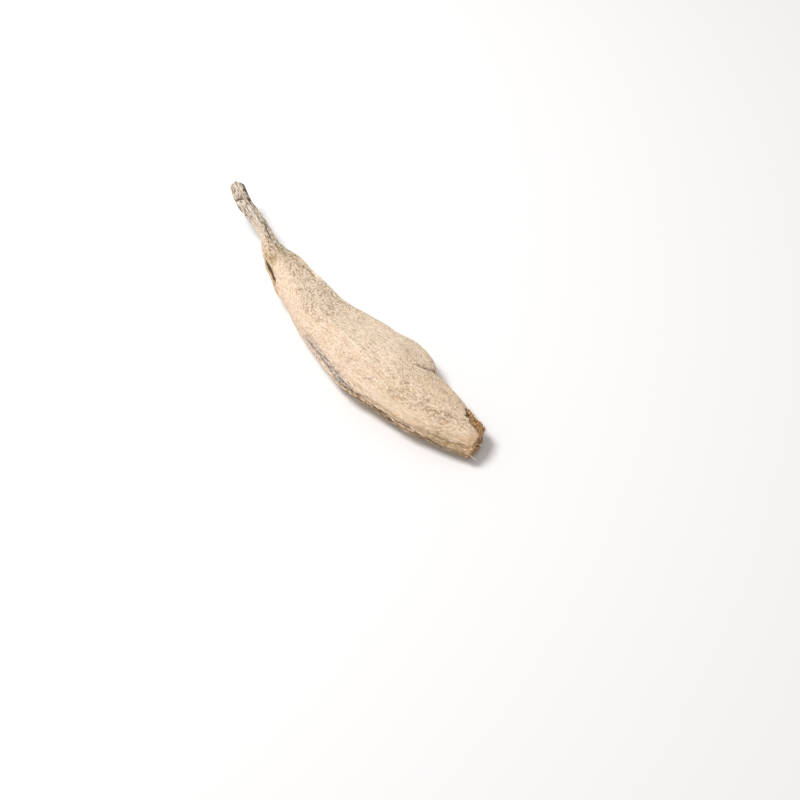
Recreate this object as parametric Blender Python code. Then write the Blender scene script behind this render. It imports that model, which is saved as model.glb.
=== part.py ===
"""One freeze-dried cod strip: the tail half of a small gutted fish, dried stiff.

The strip lies on its flank along X, with the tail stump at -X and the slanted cut end at +X.
The thick back edge is on the -Y side and the thin belly edge on the +Y side.
All lengths are in millimetres until the mesh is written, which is in metres.
"""

import math

import bmesh
import bpy
import numpy as np
from mathutils import Vector, noise

OBJECT_NAME = "freeze_dried_cod_strip"
NODE_NAME = "cod_strip"
MM = 0.001

# Resolution of the loft
POINTS_AROUND = 56
RINGS_ALONG = 90

# The loft's stations, from the tail tip to the cut end. Each has the belly edge (x, y), the back
# edge (x, y), the height of both edges above the floor, and the flesh above and below them.
STATIONS = (
    # name           belly x   y     back x    y     height  above  below
    ("tail tip",       -92.8,   3.0,  -94.6,  -2.6,   16.0,   2.3,   2.1),
    ("tail stump",     -83.9,   1.0,  -85.2,  -5.8,   15.0,   2.7,   2.6),
    ("stump root",     -71.0,  -0.7,  -71.5,  -7.0,   13.4,   2.8,   2.7),
    ("wrist",          -60.0,  -2.1,  -60.7,  -8.8,   12.0,   3.0,   2.9),
    ("tail flare",     -49.0,  -3.5,  -50.4, -14.0,   10.9,   4.0,   3.8),
    ("sliver",         -38.0,  -0.9,  -37.4, -17.1,   10.2,   5.3,   5.2),
    ("narrow body",    -20.0,  -0.9,  -20.0, -22.3,    9.4,   7.4,   7.8),
    ("middle",           1.0,   0.6,    1.0, -26.6,    9.0,   9.2,   9.0),
    ("full body",       22.0,   6.4,   22.0, -29.3,    9.0,  10.2,   9.2),
    ("widest",          43.0,  11.2,   43.0, -30.8,    8.8,  10.0,   8.6),
    ("vent",            60.0,   8.3,   63.0, -26.0,    8.1,   8.8,   7.7),
    ("belly flap",      73.0,   7.7,   82.0, -20.2,    7.2,   7.0,   6.6),
    ("cut end",         82.9,   7.8,  104.4,  -8.6,    6.0,   5.0,   5.2),
)

# Form of the cross-section
BACK_HEAVINESS = 0.22          # how much higher the back side stands than the belly side
TOP_FULLNESS = 0.94            # exponents below 1 make the section fuller than an ellipse
UNDERSIDE_FULLNESS = 0.92

PRESSED_FLAT = 0.9             # how much of the underside is pressed flat where the strip lay

# The slanted cut
CUT_BULGE = 5.4                # how far the rim bows out between its two corners
CUT_SWEEP = 0.72               # share of that bow which is missing on the belly side
CUT_BEVEL = 1.3                # the skin stops this far short of the flesh inside it
RIM_RAGGEDNESS = 0.8
UPPER_WALL, LOWER_WALL, EDGE_WALL = 4.2, 2.4, 3.2     # flesh left around the gutted pocket
POCKET_DEPTH = 0.20            # as a share of the strip's length
FLESH_RINGS = ((0.3, 1.1, 0.8), (0.7, 2.0, 0.9), (1.0, 1.6, 0.7))     # wall share, reach, crumbs
POCKET_RINGS = 5
POCKET_CRUMBS = 0.4
POCKET_SIDESTEP = 0.16         # the pocket lies this much nearer the belly, as a share of the width

# Relief in the skin
DENT_DEPTH = 0.75
DENT_SIZE = 19.0
WRINKLE_DEPTH = 0.65
WRINKLE_SIZE = 6.5
FOLD_DEPTH = 0.5               # long folds beside the back edge
FOLD_SPACING = 3.5
FIBRE_DEPTH = 0.7              # lengthwise fibres on the tail stump
FIBRE_SIZE = 1.35
MUSCLE_DEPTH = 0.5             # faint lengthwise ridges in the flank
MUSCLE_SIZE = 7.5
TAIL_CAP_RINGS = ((0.28, 0.3), (0.58, -0.7), (0.86, -0.9))     # share of the width, depth
TAIL_RAGGEDNESS = 0.7
CRACK_X = -85.2                # short slanting crack across the stump
CRACK_DEPTH = 0.9
TORN_STEP = 0.5                # the skin's torn edge on the back side of the stump
TORN_STEP_X = -72.5
PLEAT_DEPTH = 0.4              # two fine pleats beside the belly edge, from the stump onwards
PLEAT_PLACES = ((-66.0, 3.2), (-47.0, 5.4))      # x, and the inner pleat's distance from the edge
PLEAT_GAP = 2.0
SLIVER_START, SLIVER_END = -47.0, -22.0
SLIVER_GAP_DEPTH = 1.4
LATERAL_LINE = -0.35           # place across the flank, from -1 at the back to 1 at the belly
LATERAL_LINE_HEIGHT = 0.5
NOTCH_X = 60.0
NOTCH_DEPTH = 1.2
CREASE_DEPTH = 0.8
BELLY_SLIT_DEPTH = 1.5

# Colours, linear, and how far they reach
TAIL_COLOUR_END = -72.0
BACK_COLOUR_START = -4.0
BACK_COLOUR_SPREAD = 0.3       # radians each way from the back edge
SKIN_COLOUR = (0.70, 0.54, 0.385, 1.0)
BACK_COLOUR = (0.36, 0.31, 0.235, 1.0)
TAIL_COLOUR = (0.42, 0.345, 0.265, 1.0)
FLESH_COLOUR = (0.47, 0.27, 0.11, 1.0)
POCKET_COLOUR = (0.34, 0.17, 0.07, 1.0)


def clear_scene():
    """Take out whatever the scene starts with."""
    for item in list(bpy.data.objects):
        bpy.data.objects.remove(item, do_unlink=True)


def smooth_through(keys, values, at):
    """A smooth curve through the values at the keys, read at other places."""
    slopes = np.gradient(values, keys)
    index = np.clip(np.searchsorted(keys, at) - 1, 0, len(keys) - 2)
    step = keys[index + 1] - keys[index]
    t = (at - keys[index]) / step
    start = (1 + 2 * t) * (1 - t) ** 2 * values[index] + t * (1 - t) ** 2 * step * slopes[index]
    end = t * t * (3 - 2 * t) * values[index + 1] + t * t * (t - 1) * step * slopes[index + 1]
    return start + end


def ramp(value, start, end):
    """Smooth step from 0 at start to 1 at end."""
    t = np.clip((value - start) / (end - start), 0.0, 1.0)
    return t * t * (3 - 2 * t)


def bell(value, centre, half_width):
    """Smooth bump, 1 at the centre and near 0 at twice the half width."""
    return np.exp(-((value - centre) / half_width) ** 2)


def unit(vectors):
    """Vectors scaled to length one."""
    return vectors / np.linalg.norm(vectors, axis=-1, keepdims=True)


def smooth_noise(points, size, seed):
    """Organic noise from -1 to 1, at the given points and feature size."""
    shift = Vector((seed * 17.3, seed * 9.1, seed * 5.7))
    flat = points.reshape(-1, 3) / size
    values = [noise.noise(Vector(point) + shift) for point in flat]
    return np.array(values).reshape(points.shape[:-1])


def station_frames(along):
    """Middle point, half-width vector, up vector and flesh thickness at places along the strip."""
    table = np.array([station[1:] for station in STATIONS])
    middles = (table[:, 0:2] + table[:, 2:4]) / 2
    steps = np.linalg.norm(np.diff(middles, axis=0), axis=1)
    keys = np.concatenate([[0.0], np.cumsum(steps)])
    keys /= keys[-1]
    columns = [smooth_through(keys, table[:, column], along) for column in range(table.shape[1])]
    belly_x, belly_y, back_x, back_y, height, above, below = columns
    middle = np.stack([(belly_x + back_x) / 2, (belly_y + back_y) / 2, height], axis=-1)
    half = np.stack([(belly_x - back_x) / 2, (belly_y - back_y) / 2, np.zeros_like(height)], axis=-1)
    tangent = unit(np.gradient(middle, along, axis=0))
    up = unit(np.cross(tangent, half))
    return middle, half, up, above, below


def section_offsets(angle, half, up, above, below):
    """Offsets of one closed section from its middle point, for every ring and angle."""
    cosine = np.cos(angle)[None, :, None]
    sine = np.sin(angle)[None, :]
    weight = 1.0 - BACK_HEAVINESS * np.cos(angle)[None, :]
    over = above[:, None] * np.clip(sine, 0, 1) ** TOP_FULLNESS
    under = below[:, None] * np.clip(-sine, 0, 1) ** UNDERSIDE_FULLNESS
    rise = over * weight - under
    return half[:, None, :] * cosine + up[:, None, :] * rise[:, :, None]


def out_of_cut(half):
    """Level direction out of each ring's plane, towards the cut end."""
    return unit(np.stack([half[:, 1], -half[:, 0], half[:, 2]], axis=-1))[:, None, :]


def cut_shift(along, angle, half):
    """How the last rings bow out and draw back, so that the end is a slanted, bevelled cut."""
    near_end = ramp(along, 0.80, 1.0)[:, None]
    bow = CUT_BULGE * np.sin(angle) ** 2 * (1.0 - CUT_SWEEP * ramp(np.cos(angle), -0.2, 0.8))
    amount = near_end * (bow - CUT_BEVEL)[None, :]
    return out_of_cut(half) * amount[:, :, None]


def straightened(middle, offsets, half, up):
    """Places with the strip's bends taken out: along it, across it and up."""
    steps = np.linalg.norm(np.diff(middle, axis=0), axis=1)
    distance = np.concatenate([[0.0], np.cumsum(steps)])
    across = (offsets * unit(half)[:, None, :]).sum(axis=2)
    rise = (offsets * up[:, None, :]).sum(axis=2)
    return np.stack([distance[:, None] + 0.0 * rise, across, rise], axis=2)


def distance_round(points):
    """Distance round each ring from the belly edge, rising over the top to the back edge."""
    steps = np.linalg.norm(np.diff(points, axis=1), axis=2)
    return np.concatenate([np.zeros((len(points), 1)), np.cumsum(steps, axis=1)], axis=1)


def skin_relief(points, straight, angle):
    """Height of the relief on the outer skin, in millimetres along the surface normal."""
    x = points[:, :, 0]
    from_belly = distance_round(points)
    from_back = from_belly[:, POINTS_AROUND // 2][:, None] - from_belly
    cosine = np.cos(angle)[None, :]
    sine = np.sin(angle)[None, :]
    body = ramp(x, -62.0, -30.0)
    top = ramp(sine, 0.0, 0.5)

    dents = DENT_DEPTH * smooth_noise(points, DENT_SIZE, 1) * (0.3 + 0.7 * body)
    grain_points = points * np.array([0.6, 1.0, 1.0])
    wrinkles = WRINKLE_DEPTH * smooth_noise(grain_points, WRINKLE_SIZE, 2) * body

    near_back = bell(from_back, 1.2, 4.4) * ramp(x, -8.0, 14.0)
    wander = 0.9 * smooth_noise(points * np.array([1.0, 0.2, 0.2]), 18.0, 3)
    folds = FOLD_DEPTH * near_back * np.sin(2 * math.pi * (from_back / FOLD_SPACING + wander))

    pleat_span = ramp(x, -90.0, -84.0) * (1 - ramp(x, -26.0, -12.0))
    inner = np.interp(x, *zip(*PLEAT_PLACES))
    pleat_lines = bell(from_belly, inner, 0.6) + bell(from_belly, inner - PLEAT_GAP, 0.5)
    pleats = -PLEAT_DEPTH * pleat_span * pleat_lines

    stump = 1.0 - ramp(x, -66.0, -46.0)
    drawn_out = straight * np.array([0.12, 1.0, 1.0])
    fibres = FIBRE_DEPTH * stump * smooth_noise(drawn_out, FIBRE_SIZE, 26)
    muscle = MUSCLE_DEPTH * body * smooth_noise(drawn_out, MUSCLE_SIZE, 20)
    torn_edge = TORN_STEP * (1 - ramp(x, TORN_STEP_X, TORN_STEP_X + 1.5)) * ramp(-cosine, 0.5, 0.9)
    crack_line = CRACK_X + 3.0 * (1.0 + cosine)
    crack = -CRACK_DEPTH * bell(x, crack_line, 0.9) * ramp(-cosine, -0.3, 0.4)

    sliver_span = ramp(x, SLIVER_START, SLIVER_START + 5) * (1 - ramp(x, SLIVER_END - 7, SLIVER_END))
    gap = -SLIVER_GAP_DEPTH * sliver_span * bell(from_back, 1.0, 0.7)
    lip = 0.7 * sliver_span * bell(from_back, -0.4, 0.9)

    line_span = ramp(x, -40.0, 0.0) * (1 - ramp(x, 55.0, 80.0))
    lateral = LATERAL_LINE_HEIGHT * line_span * top * bell(cosine, LATERAL_LINE, 0.085)

    crease_line = NOTCH_X - 5.0 + 13.0 * (cosine - 0.5)
    crease = -CREASE_DEPTH * bell(x, crease_line, 1.3) * ramp(cosine, 0.4, 0.6) * ramp(sine, -0.1, 0.2)
    notch = -NOTCH_DEPTH * bell(x, NOTCH_X, 2.2) * ramp(cosine, 0.85, 1.0)
    slit = -BELLY_SLIT_DEPTH * ramp(x, NOTCH_X, 70.0) * bell(sine, -0.12, 0.12) * ramp(cosine, 0.5, 0.9)

    lengthwise = folds + pleats + fibres + muscle + gap + lip + lateral + slit
    return dents + wrinkles + lengthwise + torn_edge + crack + crease + notch


def surface_normals(points):
    """Outward direction at every point of a stack of rings."""
    along = np.gradient(points, axis=0)
    around = np.roll(points, -1, axis=1) - np.roll(points, 1, axis=1)
    return unit(np.cross(around, along))


def ring_places():
    """Places of the rings along the strip, closer together at the stump's crack and at the rim."""
    fine = np.linspace(0.0, 1.0, 2000)
    density = 1.0 + 1.2 * bell(fine, 0.045, 0.02) + 1.0 * bell(fine, 1.0, 0.05)
    total = np.cumsum(density)
    total = (total - total[0]) / (total[-1] - total[0])
    return np.interp(np.linspace(0.0, 1.0, RINGS_ALONG), total, fine)


def outer_skin(angle):
    """Rings of the outer skin, from the tail tip to the ragged rim of the cut."""
    along = ring_places()
    middle, half, up, above, below = station_frames(along)
    offsets = section_offsets(angle, half, up, above, below)
    straight = straightened(middle, offsets, half, up)
    points = middle[:, None, :] + offsets + cut_shift(along, angle, half)
    points = points + surface_normals(points) * skin_relief(points, straight, angle)[:, :, None]
    ragged = RIM_RAGGEDNESS * (smooth_noise(points, 3.2, 5) + 0.5 * smooth_noise(points, 1.4, 6))
    torn = ramp(along, 0.965, 1.0)[:, None] * ragged
    return points + out_of_cut(half) * torn[:, :, None]


def frames_from_end(depth):
    """Station frames at depths behind the cut end, where the first few may share one place."""
    apart = np.arange(len(depth)) * 1e-6
    frames = station_frames((1.0 - depth - apart)[::-1])
    return [part[::-1] for part in frames]


def pocket_lining(angle):
    """Rings from the rim across the torn flesh and down into the gutted pocket."""
    inside = np.ones(POCKET_RINGS)
    wall_share = np.concatenate([[ring[0] for ring in FLESH_RINGS], inside])
    reach = np.concatenate([[ring[1] for ring in FLESH_RINGS], 0.0 * inside])
    crumbs = np.concatenate([[ring[2] for ring in FLESH_RINGS], POCKET_CRUMBS * inside])
    down = POCKET_DEPTH * np.linspace(0.12, 1.0, POCKET_RINGS)
    depth = np.concatenate([np.zeros(len(FLESH_RINGS)), down])

    middle, half, up, above, below = frames_from_end(depth)
    closing = 1.0 - 0.9 * ramp(depth, 0.5 * POCKET_DEPTH, POCKET_DEPTH) ** 1.5
    edge_share = EDGE_WALL / np.linalg.norm(half, axis=1) + POCKET_SIDESTEP
    inner_half = half * (closing * (1.0 - wall_share * edge_share))[:, None]
    inner_above = closing * (above - wall_share * UPPER_WALL)
    inner_below = closing * (below - wall_share * LOWER_WALL)
    points = middle[:, None, :] + section_offsets(angle, inner_half, up, inner_above, inner_below)
    points = points + (half * (POCKET_SIDESTEP * wall_share)[:, None])[:, None, :]
    points = points + cut_shift(1.0 - depth, angle, half)
    rough = crumbs[:, None] * (smooth_noise(points, 2.6, 7) + 0.6 * smooth_noise(points, 1.2, 8))
    return points + out_of_cut(half) * (reach[:, None] + rough)[:, :, None]


def tail_cap(first_ring):
    """Rings that close the blunt, ragged tip of the tail stump, from its middle outwards."""
    centre = first_ring.mean(axis=0)
    inwards = np.array([1.0, 0.0, 0.0])
    rings = []
    for share, depth in TAIL_CAP_RINGS:
        ring = centre + (first_ring - centre) * share
        ragged = TAIL_RAGGEDNESS * smooth_noise(ring, 1.5, 9)
        rings.append(ring + inwards * (depth + ragged)[:, None])
    return np.array(rings)


def set_on_floor(rings):
    """Rest the strip on the floor, pressed flat where it lay, with the origin under its middle."""
    points = np.concatenate(rings)
    lowest = points[:, :, 2].min()
    placed = [ring - np.array([0.0, 0.0, lowest + PRESSED_FLAT]) for ring in rings]
    for ring in placed:
        ring[:, :, 2] = np.maximum(ring[:, :, 2], 0.0)
    points = np.concatenate(placed)
    centre_x = (points[:, :, 0].min() + points[:, :, 0].max()) / 2
    centre_y = (points[:, :, 1].min() + points[:, :, 1].max()) / 2
    return [ring - np.array([centre_x, centre_y, 0.0]) for ring in placed]


def make_material(name, colour, roughness):
    """A plain matte material."""
    material = bpy.data.materials.new(name)
    material.use_nodes = True
    shader = material.node_tree.nodes["Principled BSDF"]
    shader.inputs["Base Color"].default_value = colour
    shader.inputs["Roughness"].default_value = roughness
    shader.inputs["Metallic"].default_value = 0.0
    material.diffuse_color = colour
    return material


def material_index(ring, point, counts, angle):
    """Which material a face takes, from its ring, its first corner and its place in the ring."""
    cap, skin, _ = counts
    ragged = noise.noise(Vector((point[0], 0.0, 0.0)) / (16.0 * MM))
    if ring >= cap + skin + 2:
        return 4
    if ring >= cap + skin - 1:
        return 3
    if point[0] < TAIL_COLOUR_END * MM + 4.0 * MM * ragged:
        return 2
    on_back = abs(angle - math.pi) < BACK_COLOUR_SPREAD + 0.3 * ragged
    return 1 if on_back and point[0] > BACK_COLOUR_START * MM else 0


def build_strip():
    """Loft the whole strip as one closed body."""
    angle = np.linspace(0.0, 2 * math.pi, POINTS_AROUND, endpoint=False)
    skin = outer_skin(angle)
    cap = tail_cap(skin[0])
    pocket = pocket_lining(angle)
    cap, skin, pocket = set_on_floor([cap, skin, pocket])
    counts = (len(cap), len(skin), len(pocket))
    rings = np.concatenate([cap, skin, pocket]) * MM

    body = bmesh.new()
    rows = [[body.verts.new(point) for point in ring] for ring in rings]
    for index in range(len(rows) - 1):
        for step in range(POINTS_AROUND):
            following = (step + 1) % POINTS_AROUND
            corners = (rows[index][step], rows[index][following],
                       rows[index + 1][following], rows[index + 1][step])
            face = body.faces.new(corners)
            face.smooth = True
            face.material_index = material_index(index, rings[index][step], counts, angle[step])
    for row, ring, slot in ((rows[0], rings[0], 2), (rows[-1], rings[-1], 4)):
        hub = body.verts.new(ring.mean(axis=0))
        for step in range(POINTS_AROUND):
            face = body.faces.new((hub, row[step], row[(step + 1) % POINTS_AROUND]))
            face.smooth = True
            face.material_index = slot
    bmesh.ops.recalc_face_normals(body, faces=body.faces[:])
    bmesh.ops.triangulate(body, faces=body.faces[:])

    mesh = bpy.data.meshes.new(NODE_NAME)
    body.to_mesh(mesh)
    body.free()
    for name, colour, roughness in (
            ("dried_skin", SKIN_COLOUR, 0.85),
            ("dried_back_skin", BACK_COLOUR, 0.85),
            ("dried_tail", TAIL_COLOUR, 0.9),
            ("torn_flesh", FLESH_COLOUR, 0.95),
            ("pocket_lining", POCKET_COLOUR, 0.8)):
        mesh.materials.append(make_material(name, colour, roughness))
    mesh.set_sharp_from_angle(angle=math.radians(70))
    return bpy.data.objects.new(NODE_NAME, mesh)


def main():
    """Build the strip and put it in its collection."""
    clear_scene()
    collection = bpy.data.collections.new(OBJECT_NAME)
    bpy.context.scene.collection.children.link(collection)
    collection.objects.link(build_strip())


main()
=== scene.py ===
"""Looks of one freeze-dried cod strip: skin, torn flesh, frayed fibres, crumbs, flakes and splinters.

The strip follows the same stations and relief as its solid, at about four times the resolution, with
finer grain on top. Lengths are in millimetres until a mesh is written, which is in metres.
"""

import math

import bpy
import numpy as np
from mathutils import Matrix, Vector, noise

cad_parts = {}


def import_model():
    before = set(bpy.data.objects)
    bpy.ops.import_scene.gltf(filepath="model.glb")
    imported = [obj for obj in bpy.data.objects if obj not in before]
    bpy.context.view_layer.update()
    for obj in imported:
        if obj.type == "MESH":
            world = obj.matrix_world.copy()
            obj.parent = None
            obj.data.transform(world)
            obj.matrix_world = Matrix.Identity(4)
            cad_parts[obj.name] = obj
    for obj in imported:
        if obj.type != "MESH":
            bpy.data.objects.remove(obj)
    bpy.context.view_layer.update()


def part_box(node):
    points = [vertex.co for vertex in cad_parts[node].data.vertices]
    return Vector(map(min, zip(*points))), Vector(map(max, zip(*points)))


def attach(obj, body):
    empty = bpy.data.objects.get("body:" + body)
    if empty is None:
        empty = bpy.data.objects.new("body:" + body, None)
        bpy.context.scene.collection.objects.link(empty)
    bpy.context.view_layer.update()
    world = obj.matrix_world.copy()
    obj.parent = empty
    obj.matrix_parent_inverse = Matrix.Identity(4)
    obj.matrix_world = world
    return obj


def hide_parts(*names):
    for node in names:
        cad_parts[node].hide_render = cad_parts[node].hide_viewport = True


MM = 0.001
SOLID = "cod_strip"
BODY = "root"

# Resolution of the loft
POINTS_AROUND = 200
SKIN_RINGS = 396
TIP_RINGS = 14
CUT_RINGS = 60

# The loft's stations, from the tail tip to the cut end. Each has the belly edge (x, y), the back
# edge (x, y), the height of both edges above the floor, and the flesh above and below them.
STATIONS = (
    # name           belly x   y     back x    y     height  above  below
    ("tail tip",       -92.8,   3.0,  -94.6,  -2.6,   16.0,   2.3,   2.1),
    ("tail stump",     -83.9,   1.0,  -85.2,  -5.8,   15.0,   2.7,   2.6),
    ("stump root",     -71.0,  -0.7,  -71.5,  -7.0,   13.4,   2.8,   2.7),
    ("wrist",          -60.0,  -2.1,  -60.7,  -8.8,   12.0,   3.0,   2.9),
    ("tail flare",     -49.0,  -3.5,  -50.4, -14.0,   10.9,   4.0,   3.8),
    ("sliver",         -38.0,  -0.9,  -37.4, -17.1,   10.2,   5.3,   5.2),
    ("narrow body",    -20.0,  -0.9,  -20.0, -22.3,    9.4,   7.4,   7.8),
    ("middle",           1.0,   0.6,    1.0, -26.6,    9.0,   9.2,   9.0),
    ("full body",       22.0,   6.4,   22.0, -29.3,    9.0,  10.2,   9.2),
    ("widest",          43.0,  11.2,   43.0, -30.8,    8.8,  10.0,   8.6),
    ("vent",            60.0,   8.3,   63.0, -26.0,    8.1,   8.8,   7.7),
    ("belly flap",      73.0,   7.7,   82.0, -20.2,    7.2,   7.0,   6.6),
    ("cut end",         82.9,   7.8,  104.4,  -8.6,    6.0,   5.0,   5.2),
)

# Form of the cross-section
BACK_HEAVINESS = 0.22          # how much higher the back side stands than the belly side
TOP_FULLNESS = 0.94            # exponents below 1 make the section fuller than an ellipse
UNDERSIDE_FULLNESS = 0.92
PRESSED_FLAT = 0.9             # how much of the underside is pressed flat where the strip lay

# The slanted cut
CUT_BULGE = 5.4                # how far the rim bows out between its two corners
CUT_SWEEP = 0.72               # share of that bow which is missing on the belly side
CUT_BEVEL = 1.3                # the skin stops this far short of the flesh inside it
RIM_RAGGEDNESS = 0.8
UPPER_WALL, LOWER_WALL, EDGE_WALL = 4.2, 2.4, 3.2     # flesh left around the gutted pocket
POCKET_DEPTH = 0.20            # as a share of the strip's length
POCKET_SIDESTEP = 0.16         # the pocket lies this much nearer the belly, as a share of the width
# Across the cut and down the pocket: place, share of the wall, reach out of the cut, crumbs, depth
LINING = (
    (0.00, 0.00,  0.0, 0.0, 0.00),
    (0.05, 0.10, -0.4, 0.4, 0.00),
    (0.10, 0.18,  0.5, 0.7, 0.00),
    (0.15, 0.30,  1.1, 0.8, 0.00),
    (0.27, 0.70,  2.0, 0.9, 0.00),
    (0.38, 1.00,  1.6, 0.7, 0.00),
    (0.50, 1.00,  0.0, 0.4, 0.12),
    (1.00, 1.00,  0.0, 0.4, 1.00),
)

# Relief in the skin
DENT_DEPTH, DENT_SIZE = 0.75, 19.0
WRINKLE_DEPTH, WRINKLE_SIZE = 0.65, 6.5
FOLD_DEPTH, FOLD_SPACING = 0.5, 3.5          # long folds beside the back edge
FIBRE_DEPTH, FIBRE_SIZE = 0.7, 1.35          # lengthwise fibres on the tail stump
MUSCLE_DEPTH, MUSCLE_SIZE = 0.5, 7.5         # faint lengthwise ridges in the flank
TAIL_CAP = ((0.0, 0.3), (0.28, 0.3), (0.58, -0.7), (0.86, -0.9), (1.0, 0.0))   # share of width, depth
TAIL_RAGGEDNESS = 0.7
CRACK_X, CRACK_SLANT, CRACK_DEPTH = -85.2, 3.0, 0.9     # short slanting crack across the stump
TORN_STEP, TORN_STEP_X = 0.5, -72.5          # the skin's torn edge on the back side of the stump
PLEAT_DEPTH, PLEAT_GAP = 0.4, 2.0            # two fine pleats beside the belly edge
PLEAT_PLACES = ((-66.0, 3.2), (-47.0, 5.4))  # x, and the inner pleat's distance from the edge
SLIVER_START, SLIVER_END = -47.0, -22.0      # a sliver of skin lifts along the back edge
SLIVER_GAP_DEPTH, SLIVER_LIP_HEIGHT = 1.4, 0.7
LATERAL_LINE = -0.35           # place across the flank, from -1 at the back to 1 at the belly
LATERAL_LINE_HEIGHT = 0.5
NOTCH_X, NOTCH_DEPTH = 60.0, 1.2
CREASE_DEPTH = 0.8
BELLY_SLIT_DEPTH = 1.5

# Fine grain
STRAND_SIZE, STRAND_DEPTH = 0.8, 0.3         # lengthwise strands
TOOTH_LENGTH = 1.3                           # ragged teeth at the tail tip
CRUMPLE_SIZE, CRUMPLE_DEPTH = 2.4, 0.45
PEBBLE_SIZE, PEBBLE_DEPTH = 1.25, 0.34
PORE_SIZE, PORE_DEPTH = 1.6, 1.5

# Loose bits: how many to a square millimetre, and their sizes
FRAY_DENSITY, FRAY_THICKNESS = 0.7, 0.09
SHORTEST_FRAY, LONGEST_FRAY = 0.7, 3.2
CRUMB_DENSITY, CRUMB_SIZE = 1.2, 1.0
FLAKE_DENSITY, FLAKE_SIZE = 0.012, 1.0
LOW_FIBRES = 3.6                             # fibres are shorter below this height
LOW_CRUMBS = 1.2                             # crumbs and flakes are left out below this one

# Marks in the skin. A path gives places as x and the distance from an edge, over the top side. Past
# the back edge that distance is negative.
BACK_GAP = (
    (-51.0, 2.2), (-48.0, 1.5), (-45.5, 0.7), (-41.0, 0.25), (-36.0, 0.1), (-31.0, 0.2), (-25.0, 0.0),
)
BLUE_STRIPE = ((10.0, 1.4), (20.0, 2.0), (30.0, 2.0), (36.0, 2.3), (44.0, 2.9))
STRIPE_RIM = ((14.0, -1.3), (22.0, -1.4), (33.0, -2.4), (39.0, -2.7), (50.0, -2.0))
BACK_LINES = (
    ((40.0, 3.3), (49.0, 1.3), (52.5, -0.6), (57.0, -0.4), (63.0, 1.3), (67.0, -0.4)),
    ((42.0, 0.6), (46.0, -1.2), (50.0, -2.9), (56.0, -2.3), (62.0, -1.4)),
    ((56.0, 1.4), (66.0, 1.2), (79.0, 1.5), (84.0, 1.0), (88.0, -0.5), (93.0, -1.6)),
    ((68.0, -1.2), (76.0, -0.8), (88.0, -2.4)),
)
FLANK_LINE = ((62.0, 10.4), (67.0, 10.8), (75.5, 12.1), (83.5, 13.4), (91.0, 15.2))
FAINT_LINES = (
    ((28.0, 12.0), (37.0, 12.6), (50.0, 13.2), (64.0, 9.4)),
    ((34.0, 6.4), (38.5, 6.8), (49.5, 6.5), (60.0, 6.2)),
    ((70.0, 6.6), (80.0, 7.2), (94.0, 6.0)),
)
BELLY_RIM = ((-41.0, 1.6), (-35.6, 1.7), (-32.0, 2.5), (-26.9, 3.2), (-22.7, 4.1), (-18.0, 4.9))
BELLY_LINES = (
    ((-66.0, 3.2), (-60.0, 3.9), (-54.0, 4.8), (-47.0, 5.3)),
    ((-42.0, 6.8), (-35.3, 6.3), (-32.8, 5.9), (-29.8, 5.2), (-26.8, 4.9), (-21.0, 5.4)),
    ((-7.0, 6.3), (3.0, 8.1)),
)
NICKS = (((63.6, 9.8), (67.4, 7.2)), ((58.2, 13.8), (61.2, 11.5)))
PEBBLE_EDGE = ((-46.0, 7.0), (-40.0, 8.6), (-25.0, 10.0), (-5.0, 9.6), (8.0, 10.0), (19.0, 13.0))
# Across the strip, places go from -1 at the back edge to 1 at the belly edge
CREASE = ((52.0, 0.40), (54.0, 0.45), (56.0, 0.60), (57.6, 0.75), (59.2, 0.97))     # x, across
TORN_EDGE = (                                                                       # across, along
    (-0.5, 1.01), (-0.2, 0.988), (0.0, 0.974), (0.2, 0.968), (0.5, 0.978), (1.0, 0.99),
)

# Spots in the skin: x, the distance from the back edge, the reach, and the reach across if it differs
WARM_SPOTS = (
    (18.0, 13.0, 3.0), (13.0, 15.5, 2.0), (-38.5, 5.0, 3.0), (56.0, 15.4, 2.2), (64.0, 13.0, 3.0),
)
PURPLE_SPECKS = ((48.3, 10.6, 0.7), (49.8, 11.6, 0.8), (51.6, 10.9, 0.6), (50.3, 13.0, 0.5))
TAIL_SPOT = (-81.5, 8.0, 1.1)
SMOOTH_SPOT = (95.0, 9.0, 5.0)
# The coarse spot is also darkened with painted shade
COARSE_SPOT = (85.0, 14.5, 8.0, 3.6)         # coarse and grey, before the cut

# Bands beside the back edge: from x, to x, how softly they end, the distance from the edge, half width
RAISED_LIP = (-40.0, -28.0, 9.0, -1.2, 0.8)
LIP_COLOUR = (-47.0, -28.0, 4.0, -0.4, 0.7)
TORN_BAND = (-72.0, -58.0, 3.0, 0.6, 1.4)
OLIVE_BAND = (-54.0, -41.0, 5.0, 4.0, 4.4)
SMOOTH_BAND = (44.0, 74.0, 10.0, 6.4, 3.0)   # light and smooth, above the folds
CRINKLED_BAND = (55.0, 73.0, 7.0, 12.8, 4.2)
FOLD_SHADE_BAND = (44.0, 104.0, 8.0, -0.8, 3.2)
# Painted shade where the back edge curves under in folds
STRAND_BAND = (36.0, 96.0, 14.0, -0.6, 3.6)
DARK_BACK = (0.0, 92.0, 22.0, -9.0, 4.5)
# Painted shade where the back edge turns down near the cut
LOW_CORNER_SHADE = (86.0, 103.0, 9.0, 0.2, 5.6)
PINK_FLESH = (97.0, 110.0, 4.0, 0.8, 6.2)

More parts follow.
